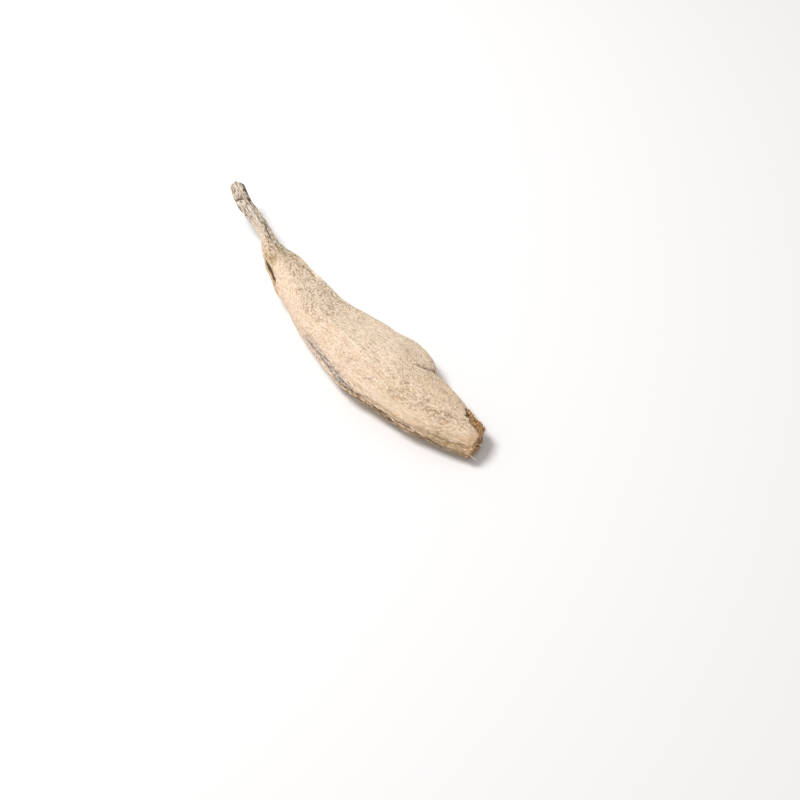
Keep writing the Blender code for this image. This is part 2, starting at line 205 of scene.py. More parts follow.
# Colours, linear
PEACH_SKIN = (0.8, 0.602, 0.449, 1.0)
CREAM_SKIN = (0.78, 0.635, 0.47, 1.0)
ROSY_SKIN = (0.77, 0.61, 0.51, 1.0)
TAN_SKIN = (0.785, 0.56, 0.37, 1.0)
YELLOW_SKIN = (0.74, 0.56, 0.34, 1.0)
# Olive of the tail's flare, and painted shade at the low corner
OLIVE_SKIN_AND_SHADE = (0.385, 0.255, 0.105, 1.0)
# Painted shade in pits, seams, hollows and furrows, partly the skin's own dark specks
HOLLOW_SHADE_SKIN = (0.33, 0.205, 0.11, 1.0)
# Painted highlight on the tops of grains, wrinkles and hairs
HIGHLIGHT_CREAM = (0.93, 0.77, 0.60, 1.0)
# Pale strands and bands, and painted highlights on rims and the lateral line
PALE_AND_HIGHLIGHT_SKIN = (0.93, 0.85, 0.74, 1.0)
STUMP_SKIN = (0.551, 0.455, 0.362, 1.0)
STUMP_STREAK = (0.12, 0.095, 0.07, 1.0)
STREAK_BROWN = (0.24, 0.145, 0.075, 1.0)
GREEN_GREY = (0.37, 0.325, 0.23, 1.0)
# The lip's tan, and painted shade in the folds along the back edge
LIP_TAN_AND_FOLD_SHADE = (0.46, 0.29, 0.14, 1.0)
LILAC_GREY = (0.51, 0.42, 0.37, 1.0)
BLUE_GREY = (0.17, 0.155, 0.152, 1.0)
PURPLE_GREY = (0.30, 0.22, 0.24, 1.0)
# Painted shade in gaps, cracks and creases, and the tail tip's dark edge and spot
DARK_AND_SHADE_BROWN = (0.085, 0.05, 0.028, 1.0)
RIM_BROWN = (0.45, 0.29, 0.16, 1.0)
FLESH_STRAW = (0.66, 0.415, 0.21, 1.0)
FLESH_BROWN = (0.28, 0.13, 0.048, 1.0)
FLESH_PINK = (0.90, 0.61, 0.42, 1.0)
# Painted shade in the flesh's pores and hollows and under the torn skin
PORE_SHADE_BROWN = (0.10, 0.045, 0.018, 1.0)
MEMBRANE = (0.16, 0.11, 0.075, 1.0)
FIBRE_STRAW = (0.74, 0.54, 0.33, 1.0)
FLAKE_CREAM = (0.78, 0.64, 0.49, 1.0)
BONE_WHITE = (0.85, 0.80, 0.72, 1.0)
FLOOR_WHITE = (0.86, 0.85, 0.85, 1.0)
SKY_WHITE = (1.0, 0.99, 0.98, 1.0)

# Gloss of dry matter
SKIN_ROUGHNESS, FLESH_ROUGHNESS, FLOOR_ROUGHNESS = 0.85, 0.9, 0.9
SKIN_SHEEN, LOOSE_SHEEN = 0.05, 0.1
DRY_SPECULAR = 0.15

# Ends of fine bones at the cut: root, tip, thickness and bend
SPLINTER_SIDES, SPLINTER_RINGS = 7, 9
SPLINTERS = (
    ((98.5, 2.0, 4.6), (102.8, 2.9, 4.2), 0.9, 0.4),
    ((96.0, 5.5, 6.8), (100.2, 7.8, 7.6), 0.7, -0.3),
    ((88.4, 10.6, 8.0), (93.0, 14.0, 8.6), 0.5, 0.3),
)

# Camera, as the strip is seen in the photograph
VIEW_AZIMUTH, VIEW_ELEVATION = 54.162, 47.0     # degrees
VIEW_LENS, VIEW_SENSOR = 85.0, 36.0
VIEW_DISTANCE = 840.56
VIEW_AIM = (51.9, -0.8, 0.0)

# Studio, in metres and watts
SKY_STRENGTH = 0.53
KEY_DIRECTION, KEY_DISTANCE = (-0.40, -0.34, 1.0), 1.1
KEY_SIZE, KEY_POWER = 0.42, 10.2
FLOOR_REACH = 3.0


# ---------------------------------------------------------------------------------------- shaping

def smooth_through(keys, values, at):
    """A smooth curve through the values at the keys, read at other places."""
    slopes = np.gradient(values, keys)
    index = np.clip(np.searchsorted(keys, at) - 1, 0, len(keys) - 2)
    step = keys[index + 1] - keys[index]
    t = (at - keys[index]) / step
    start = (1 + 2 * t) * (1 - t) ** 2 * values[index] + t * (1 - t) ** 2 * step * slopes[index]
    end = t * t * (3 - 2 * t) * values[index + 1] + t * t * (t - 1) * step * slopes[index + 1]
    return start + end


def ramp(value, start, end):
    """Smooth step from 0 at start to 1 at end."""
    t = np.clip((value - start) / (end - start), 0.0, 1.0)
    return t * t * (3 - 2 * t)


def span(value, start, end, soft):
    """1 between start and end, fading to 0 over the soft distance outside them."""
    return ramp(value, start - soft, start) * (1.0 - ramp(value, end, end + soft))


def bell(value, centre, half_width):
    """Smooth bump, 1 at the centre and near 0 at twice the half width."""
    return np.exp(-((value - centre) / half_width) ** 2)


def unit(vectors):
    """Vectors scaled to length one."""
    return vectors / np.linalg.norm(vectors, axis=-1, keepdims=True)


def smooth_noise(points, size, seed):
    """Organic noise from -1 to 1, at the given points and feature size."""
    shift = Vector((seed * 17.3, seed * 9.1, seed * 5.7))
    flat = points.reshape(-1, 3) / size
    values = [noise.noise(Vector(point) + shift) for point in flat]
    return np.array(values).reshape(points.shape[:-1])


def stretched(points, along=1.0, across=1.0):
    """Points squeezed so that noise read there is drawn out along the strip."""
    return points * np.array([along, across, across])


def station_frames(along):
    """Middle point, half-width vector, up vector and flesh thickness at places along the strip."""
    table = np.array([station[1:] for station in STATIONS])
    middles = (table[:, 0:2] + table[:, 2:4]) / 2
    steps = np.linalg.norm(np.diff(middles, axis=0), axis=1)
    keys = np.concatenate([[0.0], np.cumsum(steps)])
    keys /= keys[-1]
    columns = [smooth_through(keys, table[:, column], along) for column in range(table.shape[1])]
    belly_x, belly_y, back_x, back_y, height, above, below = columns
    middle = np.stack([(belly_x + back_x) / 2, (belly_y + back_y) / 2, height], axis=-1)
    half = np.stack([(belly_x - back_x) / 2, (belly_y - back_y) / 2, np.zeros_like(height)], axis=-1)
    tangent = unit(np.gradient(middle, along, axis=0))
    up = unit(np.cross(tangent, half))
    return middle, half, up, above, below


def section_offsets(angle, half, up, above, below):
    """Offsets of one closed section from its middle point, for every ring and angle."""
    cosine = np.cos(angle)[None, :, None]
    sine = np.sin(angle)[None, :]
    weight = 1.0 - BACK_HEAVINESS * np.cos(angle)[None, :]
    over = above[:, None] * np.clip(sine, 0, 1) ** TOP_FULLNESS
    under = below[:, None] * np.clip(-sine, 0, 1) ** UNDERSIDE_FULLNESS
    rise = over * weight - under
    return half[:, None, :] * cosine + up[:, None, :] * rise[:, :, None]


def out_of_cut(half):
    """Level direction out of each ring's plane, towards the cut end."""
    return unit(np.stack([half[:, 1], -half[:, 0], half[:, 2]], axis=-1))[:, None, :]


def cut_shift(along, angle, half):
    """How the last rings bow out and draw back, so that the end is a slanted, bevelled cut."""
    near_end = ramp(along, 0.80, 1.0)[:, None]
    bow = CUT_BULGE * np.sin(angle) ** 2 * (1.0 - CUT_SWEEP * ramp(np.cos(angle), -0.2, 0.8))
    amount = near_end * (bow - CUT_BEVEL)[None, :]
    return out_of_cut(half) * amount[:, :, None]


def straightened(middle, offsets, half, up):
    """Places with the strip's bends taken out: along it, across it and up."""
    steps = np.linalg.norm(np.diff(middle, axis=0), axis=1)
    distance = np.concatenate([[0.0], np.cumsum(steps)])
    across = (offsets * unit(half)[:, None, :]).sum(axis=2)
    rise = (offsets * up[:, None, :]).sum(axis=2)
    return np.stack([distance[:, None] + 0.0 * rise, across, rise], axis=2)


def surface_normals(points):
    """Outward direction at every point of a stack of rings."""
    along = np.gradient(points, axis=0)
    around = np.roll(points, -1, axis=1) - np.roll(points, 1, axis=1)
    return unit(np.cross(around, along))


class Places:
    """Where each point of the skin lies, and the noise that the marks there share."""

    def __init__(self, points, straight, angle, along):
        self.points = points
        self.straight = straight
        self.x = points[:, :, 0]
        self.cosine = np.cos(angle)[None, :] + 0.0 * self.x
        self.sine = np.sin(angle)[None, :] + 0.0 * self.x
        self.along = along[:, None] + 0.0 * self.x

        # Distances go over the top, and on the belly side also under the edge, where they are negative
        steps = np.linalg.norm(np.diff(points, axis=1), axis=2)
        start = np.zeros((len(points), 1))
        self.from_belly = np.concatenate([start, np.cumsum(steps, axis=1)], axis=1)
        self.from_back = self.from_belly[:, POINTS_AROUND // 2][:, None] - self.from_belly
        under_edge = (self.sine < 0) & (self.cosine > 0)
        wrapped = self.from_belly - self.from_belly[:, -1:]
        self.belly_side = np.where(under_edge, wrapped, self.from_belly)

        self.wobble = smooth_noise(stretched(points, across=0.1), 5.0, seed=13)
        self.ragged = smooth_noise(points, 2.2, seed=15) + 0.5 * smooth_noise(points, 1.0, seed=16)
        self.strands = smooth_noise(stretched(straight, along=0.1), STRAND_SIZE, seed=14)


def broad_relief(at):
    """Dents, wrinkles, faint ridges of muscle, and the lateral line."""
    body = ramp(at.x, -62.0, -30.0)
    dents = DENT_DEPTH * smooth_noise(at.points, DENT_SIZE, seed=1) * (0.3 + 0.7 * body)
    wrinkles = WRINKLE_DEPTH * smooth_noise(stretched(at.points, along=0.6), WRINKLE_SIZE, seed=2)
    muscle = MUSCLE_DEPTH * smooth_noise(stretched(at.straight, along=0.12), MUSCLE_SIZE, seed=20)
    line_span = ramp(at.x, -40.0, 0.0) * (1 - ramp(at.x, 55.0, 80.0)) * ramp(at.sine, 0.0, 0.5)
    lateral = LATERAL_LINE_HEIGHT * line_span * bell(at.cosine, LATERAL_LINE, 0.085)
    return dents + (wrinkles + muscle) * body + lateral


def back_relief(at):
    """Long folds beside the back edge, and the sliver of skin that lifts along it."""
    near_back = bell(at.from_back, 1.2, 4.4) * ramp(at.x, -8.0, 14.0)
    wander = 0.9 * smooth_noise(stretched(at.points, across=0.2), 18.0, seed=3)
    folds = FOLD_DEPTH * near_back * np.sin(2 * math.pi * (at.from_back / FOLD_SPACING + wander))
    sliver = ramp(at.x, SLIVER_START, SLIVER_START + 5) * (1 - ramp(at.x, SLIVER_END - 7, SLIVER_END))
    gap = -SLIVER_GAP_DEPTH * bell(at.from_back, 1.0, 0.7)
    lip = SLIVER_LIP_HEIGHT * bell(at.from_back, -0.4, 0.9)
    return folds + sliver * (gap + lip)


def crack_line(at):
    """Where the slanting crack crosses the stump, as x."""
    return CRACK_X + CRACK_SLANT * (1.0 + at.cosine)


def stump_relief(at):
    """Lengthwise fibres on the tail stump, its skin's torn edge, and the crack."""
    stump = 1.0 - ramp(at.x, -66.0, -46.0)
    fibres = FIBRE_DEPTH * stump * smooth_noise(stretched(at.straight, along=0.12), FIBRE_SIZE, seed=26)
    before_edge = (1 - ramp(at.x, TORN_STEP_X, TORN_STEP_X + 1.5)) * ramp(-at.cosine, 0.5, 0.9)
    crack = CRACK_DEPTH * bell(at.x, crack_line(at), 0.9) * ramp(-at.cosine, -0.3, 0.4)
    return fibres + TORN_STEP * before_edge - crack


def belly_relief(at):
    """Two fine pleats, the crease and the notch at the vent, and the slit behind them."""
    inner = np.interp(at.x, *zip(*PLEAT_PLACES))
    pleats = bell(at.from_belly, inner, 0.6) + bell(at.from_belly, inner - PLEAT_GAP, 0.5)
    pleats = pleats * ramp(at.x, -90.0, -84.0) * (1 - ramp(at.x, -26.0, -12.0))
    crease_line = NOTCH_X - 5.0 + 13.0 * (at.cosine - 0.5)
    crease = bell(at.x, crease_line, 1.3) * ramp(at.cosine, 0.4, 0.6) * ramp(at.sine, -0.1, 0.2)
    notch = bell(at.x, NOTCH_X, 2.2) * ramp(at.cosine, 0.85, 1.0)
    slit = ramp(at.x, NOTCH_X, 70.0) * ramp(at.cosine, 0.5, 0.9) * bell(at.sine, -0.12, 0.12)
    folds = PLEAT_DEPTH * pleats + CREASE_DEPTH * crease
    return -(folds + NOTCH_DEPTH * notch + BELLY_SLIT_DEPTH * slit)


def skin_relief(at):
    """Height of the relief that the solid also has, in millimetres along the surface normal."""
    return broad_relief(at) + back_relief(at) + stump_relief(at) + belly_relief(at)


def ring_places():
    """Places of the rings along the strip, closer together at the stump's crack and at the rim."""
    fine = np.linspace(0.0, 1.0, 4000)
    density = 1.0 + 0.6 * bell(fine, 0.045, 0.02) + 0.6 * bell(fine, 1.0, 0.05)
    total = np.cumsum(density)
    total = (total - total[0]) / (total[-1] - total[0])
    return np.interp(np.linspace(0.0, 1.0, SKIN_RINGS), total, fine)


def outer_skin(angle):
    """Rings of the outer skin, from the tail tip to the ragged rim of the cut, and their places."""
    along = ring_places()
    middle, half, up, above, below = station_frames(along)
    offsets = section_offsets(angle, half, up, above, below)
    points = middle[:, None, :] + offsets + cut_shift(along, angle, half)
    at = Places(points, straightened(middle, offsets, half, up), angle, along)
    points = points + surface_normals(points) * skin_relief(at)[:, :, None]
    points = points + torn_tip(at, out_of_cut(half))
    tears = smooth_noise(points, 3.2, seed=5) + 0.5 * smooth_noise(points, 1.4, seed=6)
    torn = ramp(along, 0.965, 1.0)[:, None] * (RIM_RAGGEDNESS * tears)
    return points + out_of_cut(half) * torn[:, :, None], at


def frames_from_end(depth):
    """Station frames at depths behind the cut end, where the first few may share one place."""
    apart = np.arange(len(depth)) * 1e-6
    frames = station_frames((1.0 - depth - apart)[::-1])
    return [part[::-1] for part in frames]


def cut_lining(angle):
    """Rings from the rim across the torn flesh and down into the gutted pocket."""
    keys = np.array(LINING).T
    place = np.linspace(0.0, 1.0, CUT_RINGS + 1)[1:] ** 1.25
    wall_share, reach, crumbs, depth = [np.interp(place, keys[0], row) for row in keys[1:]]
    depth = depth * POCKET_DEPTH

    middle, half, up, above, below = frames_from_end(depth)
    closing = 1.0 - 0.9 * ramp(depth, 0.5 * POCKET_DEPTH, POCKET_DEPTH) ** 1.5
    edge_share = EDGE_WALL / np.linalg.norm(half, axis=1) + POCKET_SIDESTEP
    inner_half = half * (closing * (1.0 - wall_share * edge_share))[:, None]
    inner_above = closing * (above - wall_share * UPPER_WALL)
    inner_below = closing * (below - wall_share * LOWER_WALL)
    points = middle[:, None, :] + section_offsets(angle, inner_half, up, inner_above, inner_below)
    points = points + (half * (POCKET_SIDESTEP * wall_share)[:, None])[:, None, :]
    points = points + cut_shift(1.0 - depth, angle, half)
    lumps = smooth_noise(points, 2.6, seed=7) + 0.6 * smooth_noise(points, 1.2, seed=8)
    rough = crumbs[:, None] * lumps
    return points + out_of_cut(half) * (reach[:, None] + rough)[:, :, None], depth / POCKET_DEPTH


def tail_cap(first_ring):
    """Rings that close the blunt, ragged tip of the tail stump, from its middle outwards."""
    keys = np.array(TAIL_CAP).T
    centre = first_ring.mean(axis=0)
    inwards = np.array([1.0, 0.0, 0.0])
    rings = []
    for share in np.linspace(0.06, 0.97, TIP_RINGS):
        ring = centre + (first_ring - centre) * share
        depth = np.interp(share, keys[0], keys[1])
        ragged = TAIL_RAGGEDNESS * smooth_noise(ring, 1.5, seed=9) * min(1.0, (1.0 - share) / 0.1)
        rings.append(ring + inwards * (depth + ragged)[:, None])
    return np.array(rings)


def set_in_frame(rings, low, high):
    """Press the underside flat and put the strip where its solid is, in millimetres."""
    bottom = min(ring[:, :, 2].min() for ring in rings) + PRESSED_FLAT
    placed = [ring - np.array([0.0, 0.0, bottom]) for ring in rings]
    for ring in placed:
        ring[:, :, 2] = np.maximum(ring[:, :, 2], 0.0)
    points = np.concatenate(placed)
    middle = (points.min(axis=(0, 1)) + points.max(axis=(0, 1))) / 2
    target = (np.array(low) + np.array(high)) / 2 / MM
    shift = np.array([target[0] - middle[0], target[1] - middle[1], low[2] / MM])
    return [ring + shift for ring in placed]


# ------------------------------------------------------------------------------- marks in the skin
# A mark is 1 where it is strongest and 0 away from it. Its numbers are x along the strip, the
# distance from an edge, and how wide it is or how softly it fades, all in millimetres. The cosine
# goes across the strip, and the sine over it, both from -1 to 1.

def path_line(at, path, distance, half_width, fade):
    """A line along a path of places, each given as x and its distance from one edge."""
    places, offsets = zip(*path)
    centre = np.interp(at.x, places, offsets) + 0.18 * at.wobble
    return span(at.x, places[0], places[-1], fade) * bell(distance, centre, half_width)


def spot(at, x, from_back, reach, across=None):
    """A patch in the skin, round unless it has its own reach across the strip."""
    return bell(at.x, x, reach) * bell(at.from_back, from_back, across or reach)


def band(at, start, end, soft, from_back, half_width):
    """A band along the back edge."""
    return span(at.x, start, end, soft) * bell(at.from_back, from_back, half_width)


def back_lines(at, half_width):
    """Dark lines between the folds along the back edge."""
    return sum(path_line(at, path, at.from_back, half_width, 5.0) for path in BACK_LINES)


def belly_lines(at, half_width):
    """Dark lines of the pleats along the belly edge."""
    return sum(path_line(at, path, at.from_belly, half_width, 6.0) for path in BELLY_LINES)


def faint_lines(at, half_width):
    """Faint lengthwise lines on the back half of the flank."""
    return sum(path_line(at, path, at.from_back, half_width, 6.0) for path in FAINT_LINES)


def nicks(at, half_width):
    """Two short nicks in the flank."""
    return sum(path_line(at, path, at.from_back, half_width, 0.8) for path in NICKS)


def crack_mark(at, half_width):
    """The short slanting crack across the stump."""
    reach = ramp(-at.cosine, 0.0, 0.5) * ramp(at.sine, -0.2, 0.1)
    return bell(at.x, crack_line(at), half_width) * reach


def crease_mark(at, half_width):
    """The dark crease from the belly's notch into the flank."""
    places, across = zip(*CREASE)
    line = np.interp(at.cosine, across, places) + 0.3 * at.wobble
    return bell(at.x, line, half_width) * ramp(at.cosine, 0.32, 0.45) * ramp(at.sine, -0.1, 0.2)


def lateral_line(at, half_width):
    """The lateral line, which parts the peach back half of the flank from the paler belly half."""
    stretch = span(at.x, 14.0, 84.0, 10.0) * ramp(at.sine, 0.0, 0.5)
    return bell(at.cosine, LATERAL_LINE, half_width) * stretch


def back_gap(at, half_width):
    """The gap between the sliver and the flank, with long tapers at both ends."""
    places, offsets = zip(*BACK_GAP)
    centre = np.interp(at.x, places, offsets) + 0.12 * at.wobble
    taper = span(at.x, -42.0, -37.0, 10.0)
    return taper * bell(at.from_back, centre, half_width * (0.6 + 0.4 * taper))


def past_torn_edge(at):
    """How far past the torn edge of the skin each point lies, as a share of the strip's length."""
    across, places = zip(*TORN_EDGE)
    return at.along - np.interp(at.cosine, across, places) - 0.009 * at.ragged


def torn_back(at):
    """How far the skin is torn back from the flesh of the cut, from 0 on the skin to 1."""
    return ramp(past_torn_edge(at), -0.0015, 0.0015) * ramp(at.sine, -0.3, 0.1)


def undercut_shade(at):
    """Where shade is painted in the flesh, right under the torn edge of the skin."""
    beside = span(past_torn_edge(at), 0.001, 0.008, 0.005) * ramp(at.sine, -0.3, 0.1)
    return beside * (1.0 - ramp(at.along, 0.992, 1.0))


def fine_relief(at):
    """Relief that only the close-up surface has, each mark in its own place."""
    gap = -0.9 * back_gap(at, 0.55)
    lip = 0.8 * band(at, *RAISED_LIP)
    lines = -0.4 * back_lines(at, 0.4) - 0.35 * belly_lines(at, 0.4) - 0.3 * nicks(at, 0.35)
    flank = 0.3 * path_line(at, FLANK_LINE, at.from_back, 0.9, 3.0) + 0.14 * faint_lines(at, 0.5)
    crack = -0.6 * crack_mark(at, 0.4) - 0.5 * crease_mark(at, 0.6)
    stripe = -0.2 * path_line(at, BLUE_STRIPE, at.from_back, 2.2, 5.0)
    rim = 0.3 * path_line(at, STRIPE_RIM, at.from_back, 0.5, 4.0) + 0.22 * lateral_line(at, 0.03)
    belly_rim = 0.35 * path_line(at, BELLY_RIM, at.from_belly, 0.9, 4.0)
    strands = STRAND_DEPTH * at.strands * strand_share(at)
    return gap + lip + lines + flank + crack + stripe + rim + belly_rim + strands - 0.9 * torn_back(at)


def strand_share(at):
    """Where lengthwise strands show: on the stump, in the stripe and along the back edge."""
    smooth_side = span(at.x, -68.0, -38.0, 4.0) * (1.0 - ramp(at.from_back, 3.0, 4.6))
    stump = (1.0 - ramp(at.x, -50.0, -30.0)) * (1.0 - 0.85 * smooth_side)
    stripe = 0.6 * path_line(at, BLUE_STRIPE, at.from_back, 3.4, 8.0)
    back = 0.5 * band(at, *STRAND_BAND)
    flank = 0.12 * span(at.x, -40.0, 98.0, 10.0) * ramp(-at.cosine, 0.2, 0.5)
    return np.clip(stump + stripe + back + flank, 0, 1)


def torn_tip(at, out):
    """How the last rings of the stump draw out into ragged teeth."""
    share = 1.0 - ramp(at.along, 0.0, 0.02)
    teeth = TOOTH_LENGTH * (0.25 + smooth_noise(stretched(at.points, along=0.3), 1.5, seed=12))
    return -out * (share * teeth)[:, :, None]


def pebbly(at):
    """Where the skin is coarse and pebbly: the belly half of the narrow body."""
    places, offsets = zip(*PEBBLE_EDGE)
    edge = np.interp(at.x, places, offsets) + 1.2 * at.wobble
    return span(at.x, -46.0, 4.0, 12.0) * ramp(at.from_back, edge - 2.2, edge + 2.2)


def grain_strength(at):
    """How deep the grain is: deepest over the narrow body, faint on the smooth bands."""
    sandy = 0.22 * ramp(at.cosine, -0.45, -0.25) * span(at.x, 10.0, 95.0, 15.0)
    sandy = sandy + 0.2 * ramp(at.x, 44.0, 66.0)
    stump = 1.0 - ramp(at.x, -70.0, -48.0)
    coarse = 1.2 * pebbly(at) + sandy + 0.7 * spot(at, *COARSE_SPOT) + 0.1 * band(at, *CRINKLED_BAND)
    smooth = 0.3 * spot(at, *SMOOTH_SPOT)
    return np.clip(0.52 + coarse - 0.3 * stump - smooth - 0.7 * band(at, *SMOOTH_BAND), 0.1, 1.6)


def tail_tip_edge(at):
    """The dark edge of the stump's tip, on the belly side of its upper half."""
    width = 3.4 + 0.8 * at.ragged
    beside = ramp(at.belly_side, width + 0.9, width - 0.9) * ramp(at.sine, -0.25, 0.35)
    return span(at.x, -92.0, -82.0, 10.0) * beside


def green_belly_band(at):
    """The green-grey band on the belly side of the stump, wider towards the body."""
    width = 3.6 + 2.6 * ramp(at.x, -62.0, -48.0)
    beside = ramp(at.belly_side, width + 1.0, width - 1.0) * ramp(at.sine, -1.0, -0.4)
    return span(at.x, -84.0, -46.0, 7.0) * beside


def dark_lines_and_shade(at):
    """All that is nearly black: painted shade in the gaps, cracks, crease and the lines between folds
    and pleats, and the dark edge and spot of the tail's tip.
    """
    lines = 0.66 * back_lines(at, 0.5) + 0.7 * belly_lines(at, 0.42) + 0.55 * nicks(at, 0.4)
    cracks = 1.3 * back_gap(at, 0.42) + crack_mark(at, 0.5) + 0.74 * crease_mark(at, 0.6)
    return lines + cracks + 0.7 * tail_tip_edge(at) + 0.9 * spot(at, *TAIL_SPOT)


def pale_lines_and_highlights(at):
    """Painted highlights on the rims of the pleats and the stripe and on the lateral line, which is
    partly pale itself, with the pale torn skin of the stump and the flank's faint lines.
    """
    rim_highlights = (0.7 * path_line(at, BELLY_RIM, at.from_belly, 0.7, 5.0)
            + 0.2 * path_line(at, STRIPE_RIM, at.from_back, 0.5, 4.0))
    flank = 0.75 * lateral_line(at, 0.02) + 0.3 * faint_lines(at, 0.4)
    return rim_highlights + 0.4 * band(at, *TORN_BAND) + flank


def tints(at):
    """How much of each tint the skin takes, from 0 to 1, by name. Some of them are painted shade, and
    some painted highlights.
    """
    # Painted shade at the low corner, put into the olive and a little into the green
    low_corner_shade = band(at, *LOW_CORNER_SHADE)
    back_half = ramp(-at.cosine, 0.26, 0.44)
    stripe_width = 0.9 + 1.9 * span(at.x, 16.0, 34.0, 16.0)
    stripe = path_line(at, BLUE_STRIPE, at.from_back, stripe_width, 9.0)
    flank_shade = path_line(at, FLANK_LINE, at.from_back - 1.3, 1.1, 4.0)
    olive_flank = span(at.x, -52.0, -32.0, 8.0) * ramp(at.cosine, -0.5, 0.2)
    return {
        "dark_marks_and_shade": dark_lines_and_shade(at),
        "blue": stripe + tail_tip_edge(at) + 0.62 * band(at, *DARK_BACK),
        "green": green_belly_band(at) + 0.3 * low_corner_shade,
        "pale_and_highlight": pale_lines_and_highlights(at),
        "shade": 0.8 * flank_shade + 0.6 * spot(at, *COARSE_SPOT),
        "peach": back_half * span(at.x, -34.0, 52.0, 14.0),
        "tan": ramp(at.x, 28.0, 80.0) * (0.7 + 0.3 * back_half - 0.5 * band(at, *SMOOTH_BAND)),
        "olive_and_shade": 1.1 * band(at, *OLIVE_BAND) + 1.5 * low_corner_shade + 0.6 * olive_flank,
        "fold_shade_and_lip": band(at, *FOLD_SHADE_BAND) + 0.7 * band(at, *LIP_COLOUR),
        "undercut_shade": undercut_shade(at),
        "pink": 0.9 * band(at, *PINK_FLESH),
        "warm_spots": sum(spot(at, *place) for place in WARM_SPOTS),
        "specks": sum(spot(at, *place) for place in PURPLE_SPECKS),
        "stump": 1.0 - ramp(at.x, -66.0, -48.0),
        "crinkled": band(at, *CRINKLED_BAND),
        "strand": strand_share(at),
        "rim": ramp(at.along, 0.965, 1.0),
        "grain": grain_strength(at),
    }


# ------------------------------------------------------------------------------------- node trees

class Value:
    """One output of a node, with Python's operators for numbers that change over a surface."""

    def __init__(self, tree, socket):
        self.tree = tree
        self.socket = socket

    def __add__(self, other):
        return self.tree.math("ADD", self, other)

    def __radd__(self, other):
        return self.tree.math("ADD", other, self)

    def __sub__(self, other):
        return self.tree.math("SUBTRACT", self, other)

    def __rsub__(self, other):
        return self.tree.math("SUBTRACT", other, self)

    def __mul__(self, other):
        return self.tree.math("MULTIPLY", self, other)

    def __rmul__(self, other):
        return self.tree.math("MULTIPLY", other, self)

    def __rtruediv__(self, other):
        return self.tree.math("DIVIDE", other, self)


def socket_called(sockets, name):
    """The socket in use that has this name or number, or the first one in use."""
    used = [socket for socket in sockets if socket.enabled]
    if name is None:
        return used[0]
    if isinstance(name, int):
        return used[name]
    return next(socket for socket in used if socket.name == name)


class Tree:
    """Makes and links the nodes of one tree."""

    def __init__(self, group):
        self.nodes = group.nodes
        self.links = group.links

    def plug(self, value, socket):
        """Give a socket a link or a fixed value."""
        if isinstance(value, Value):
            self.links.new(value.socket, socket)
        else:
            socket.default_value = value

    def add(self, kind, settings=None, sockets=None, output=None):
        """Add a node: its settings first, then the values or links of its sockets."""
        node = self.nodes.new(kind)
        for name, value in (settings or {}).items():
            setattr(node, name, value)
        for name, value in (sockets or {}).items():
            self.plug(value, socket_called(node.inputs, name))
        return Value(self, socket_called(node.outputs, output))

    def other(self, value, name):
        """Another output of the node that a value comes from."""
        return Value(self, socket_called(value.socket.node.outputs, name))

    def math(self, operation, *values):
        """One step of arithmetic on numbers."""
        return self.add("ShaderNodeMath", {"operation": operation}, dict(enumerate(values)))

    def vector(self, operation, *values):
        """One step of arithmetic on vectors."""
        return self.add("ShaderNodeVectorMath", {"operation": operation}, dict(enumerate(values)))

    def ramp(self, value, start, end):
        """Smooth step from 0 at start to 1 at end, which may be the lower of the two."""
        sockets = {"Value": value, "From Min": start, "From Max": end}
        return self.add("ShaderNodeMapRange", {"interpolation_type": "SMOOTHSTEP"}, sockets)

    def ridges(self, value, width):
        """Thin winding lines, 1 where a noise crosses its middle and 0 this far from it."""
        return self.ramp(self.math("ABSOLUTE", value - 0.5), width, 0.0)

    def noise(self, place, size, detail=2.0, roughness=0.5):
        """Organic noise from 0 to 1, with features of this size in millimetres."""
        sockets = {"Vector": place, "Scale": 1 / (size * MM), "Detail": detail, "Roughness": roughness}
        return self.add("ShaderNodeTexNoise", None, sockets, "Fac")

    def cells(self, place, size, feature="F1", output="Distance"):
        """Irregular cells of this size in millimetres."""
        sockets = {"Vector": place, "Scale": 1 / (size * MM)}
        return self.add("ShaderNodeTexVoronoi", {"feature": feature}, sockets, output)

    def warped(self, place, size, amount):
        """Places pushed about by noise, so that a pattern read there is less regular."""
        sockets = {"Vector": place, "Scale": 1 / (size * MM), "Detail": 1.0}
        colour = self.add("ShaderNodeTexNoise", None, sockets, "Color")
        centred = self.vector("SUBTRACT", colour, (0.5, 0.5, 0.5))
        return self.vector("ADD", place, self.vector("MULTIPLY", centred, (amount * MM,) * 3))


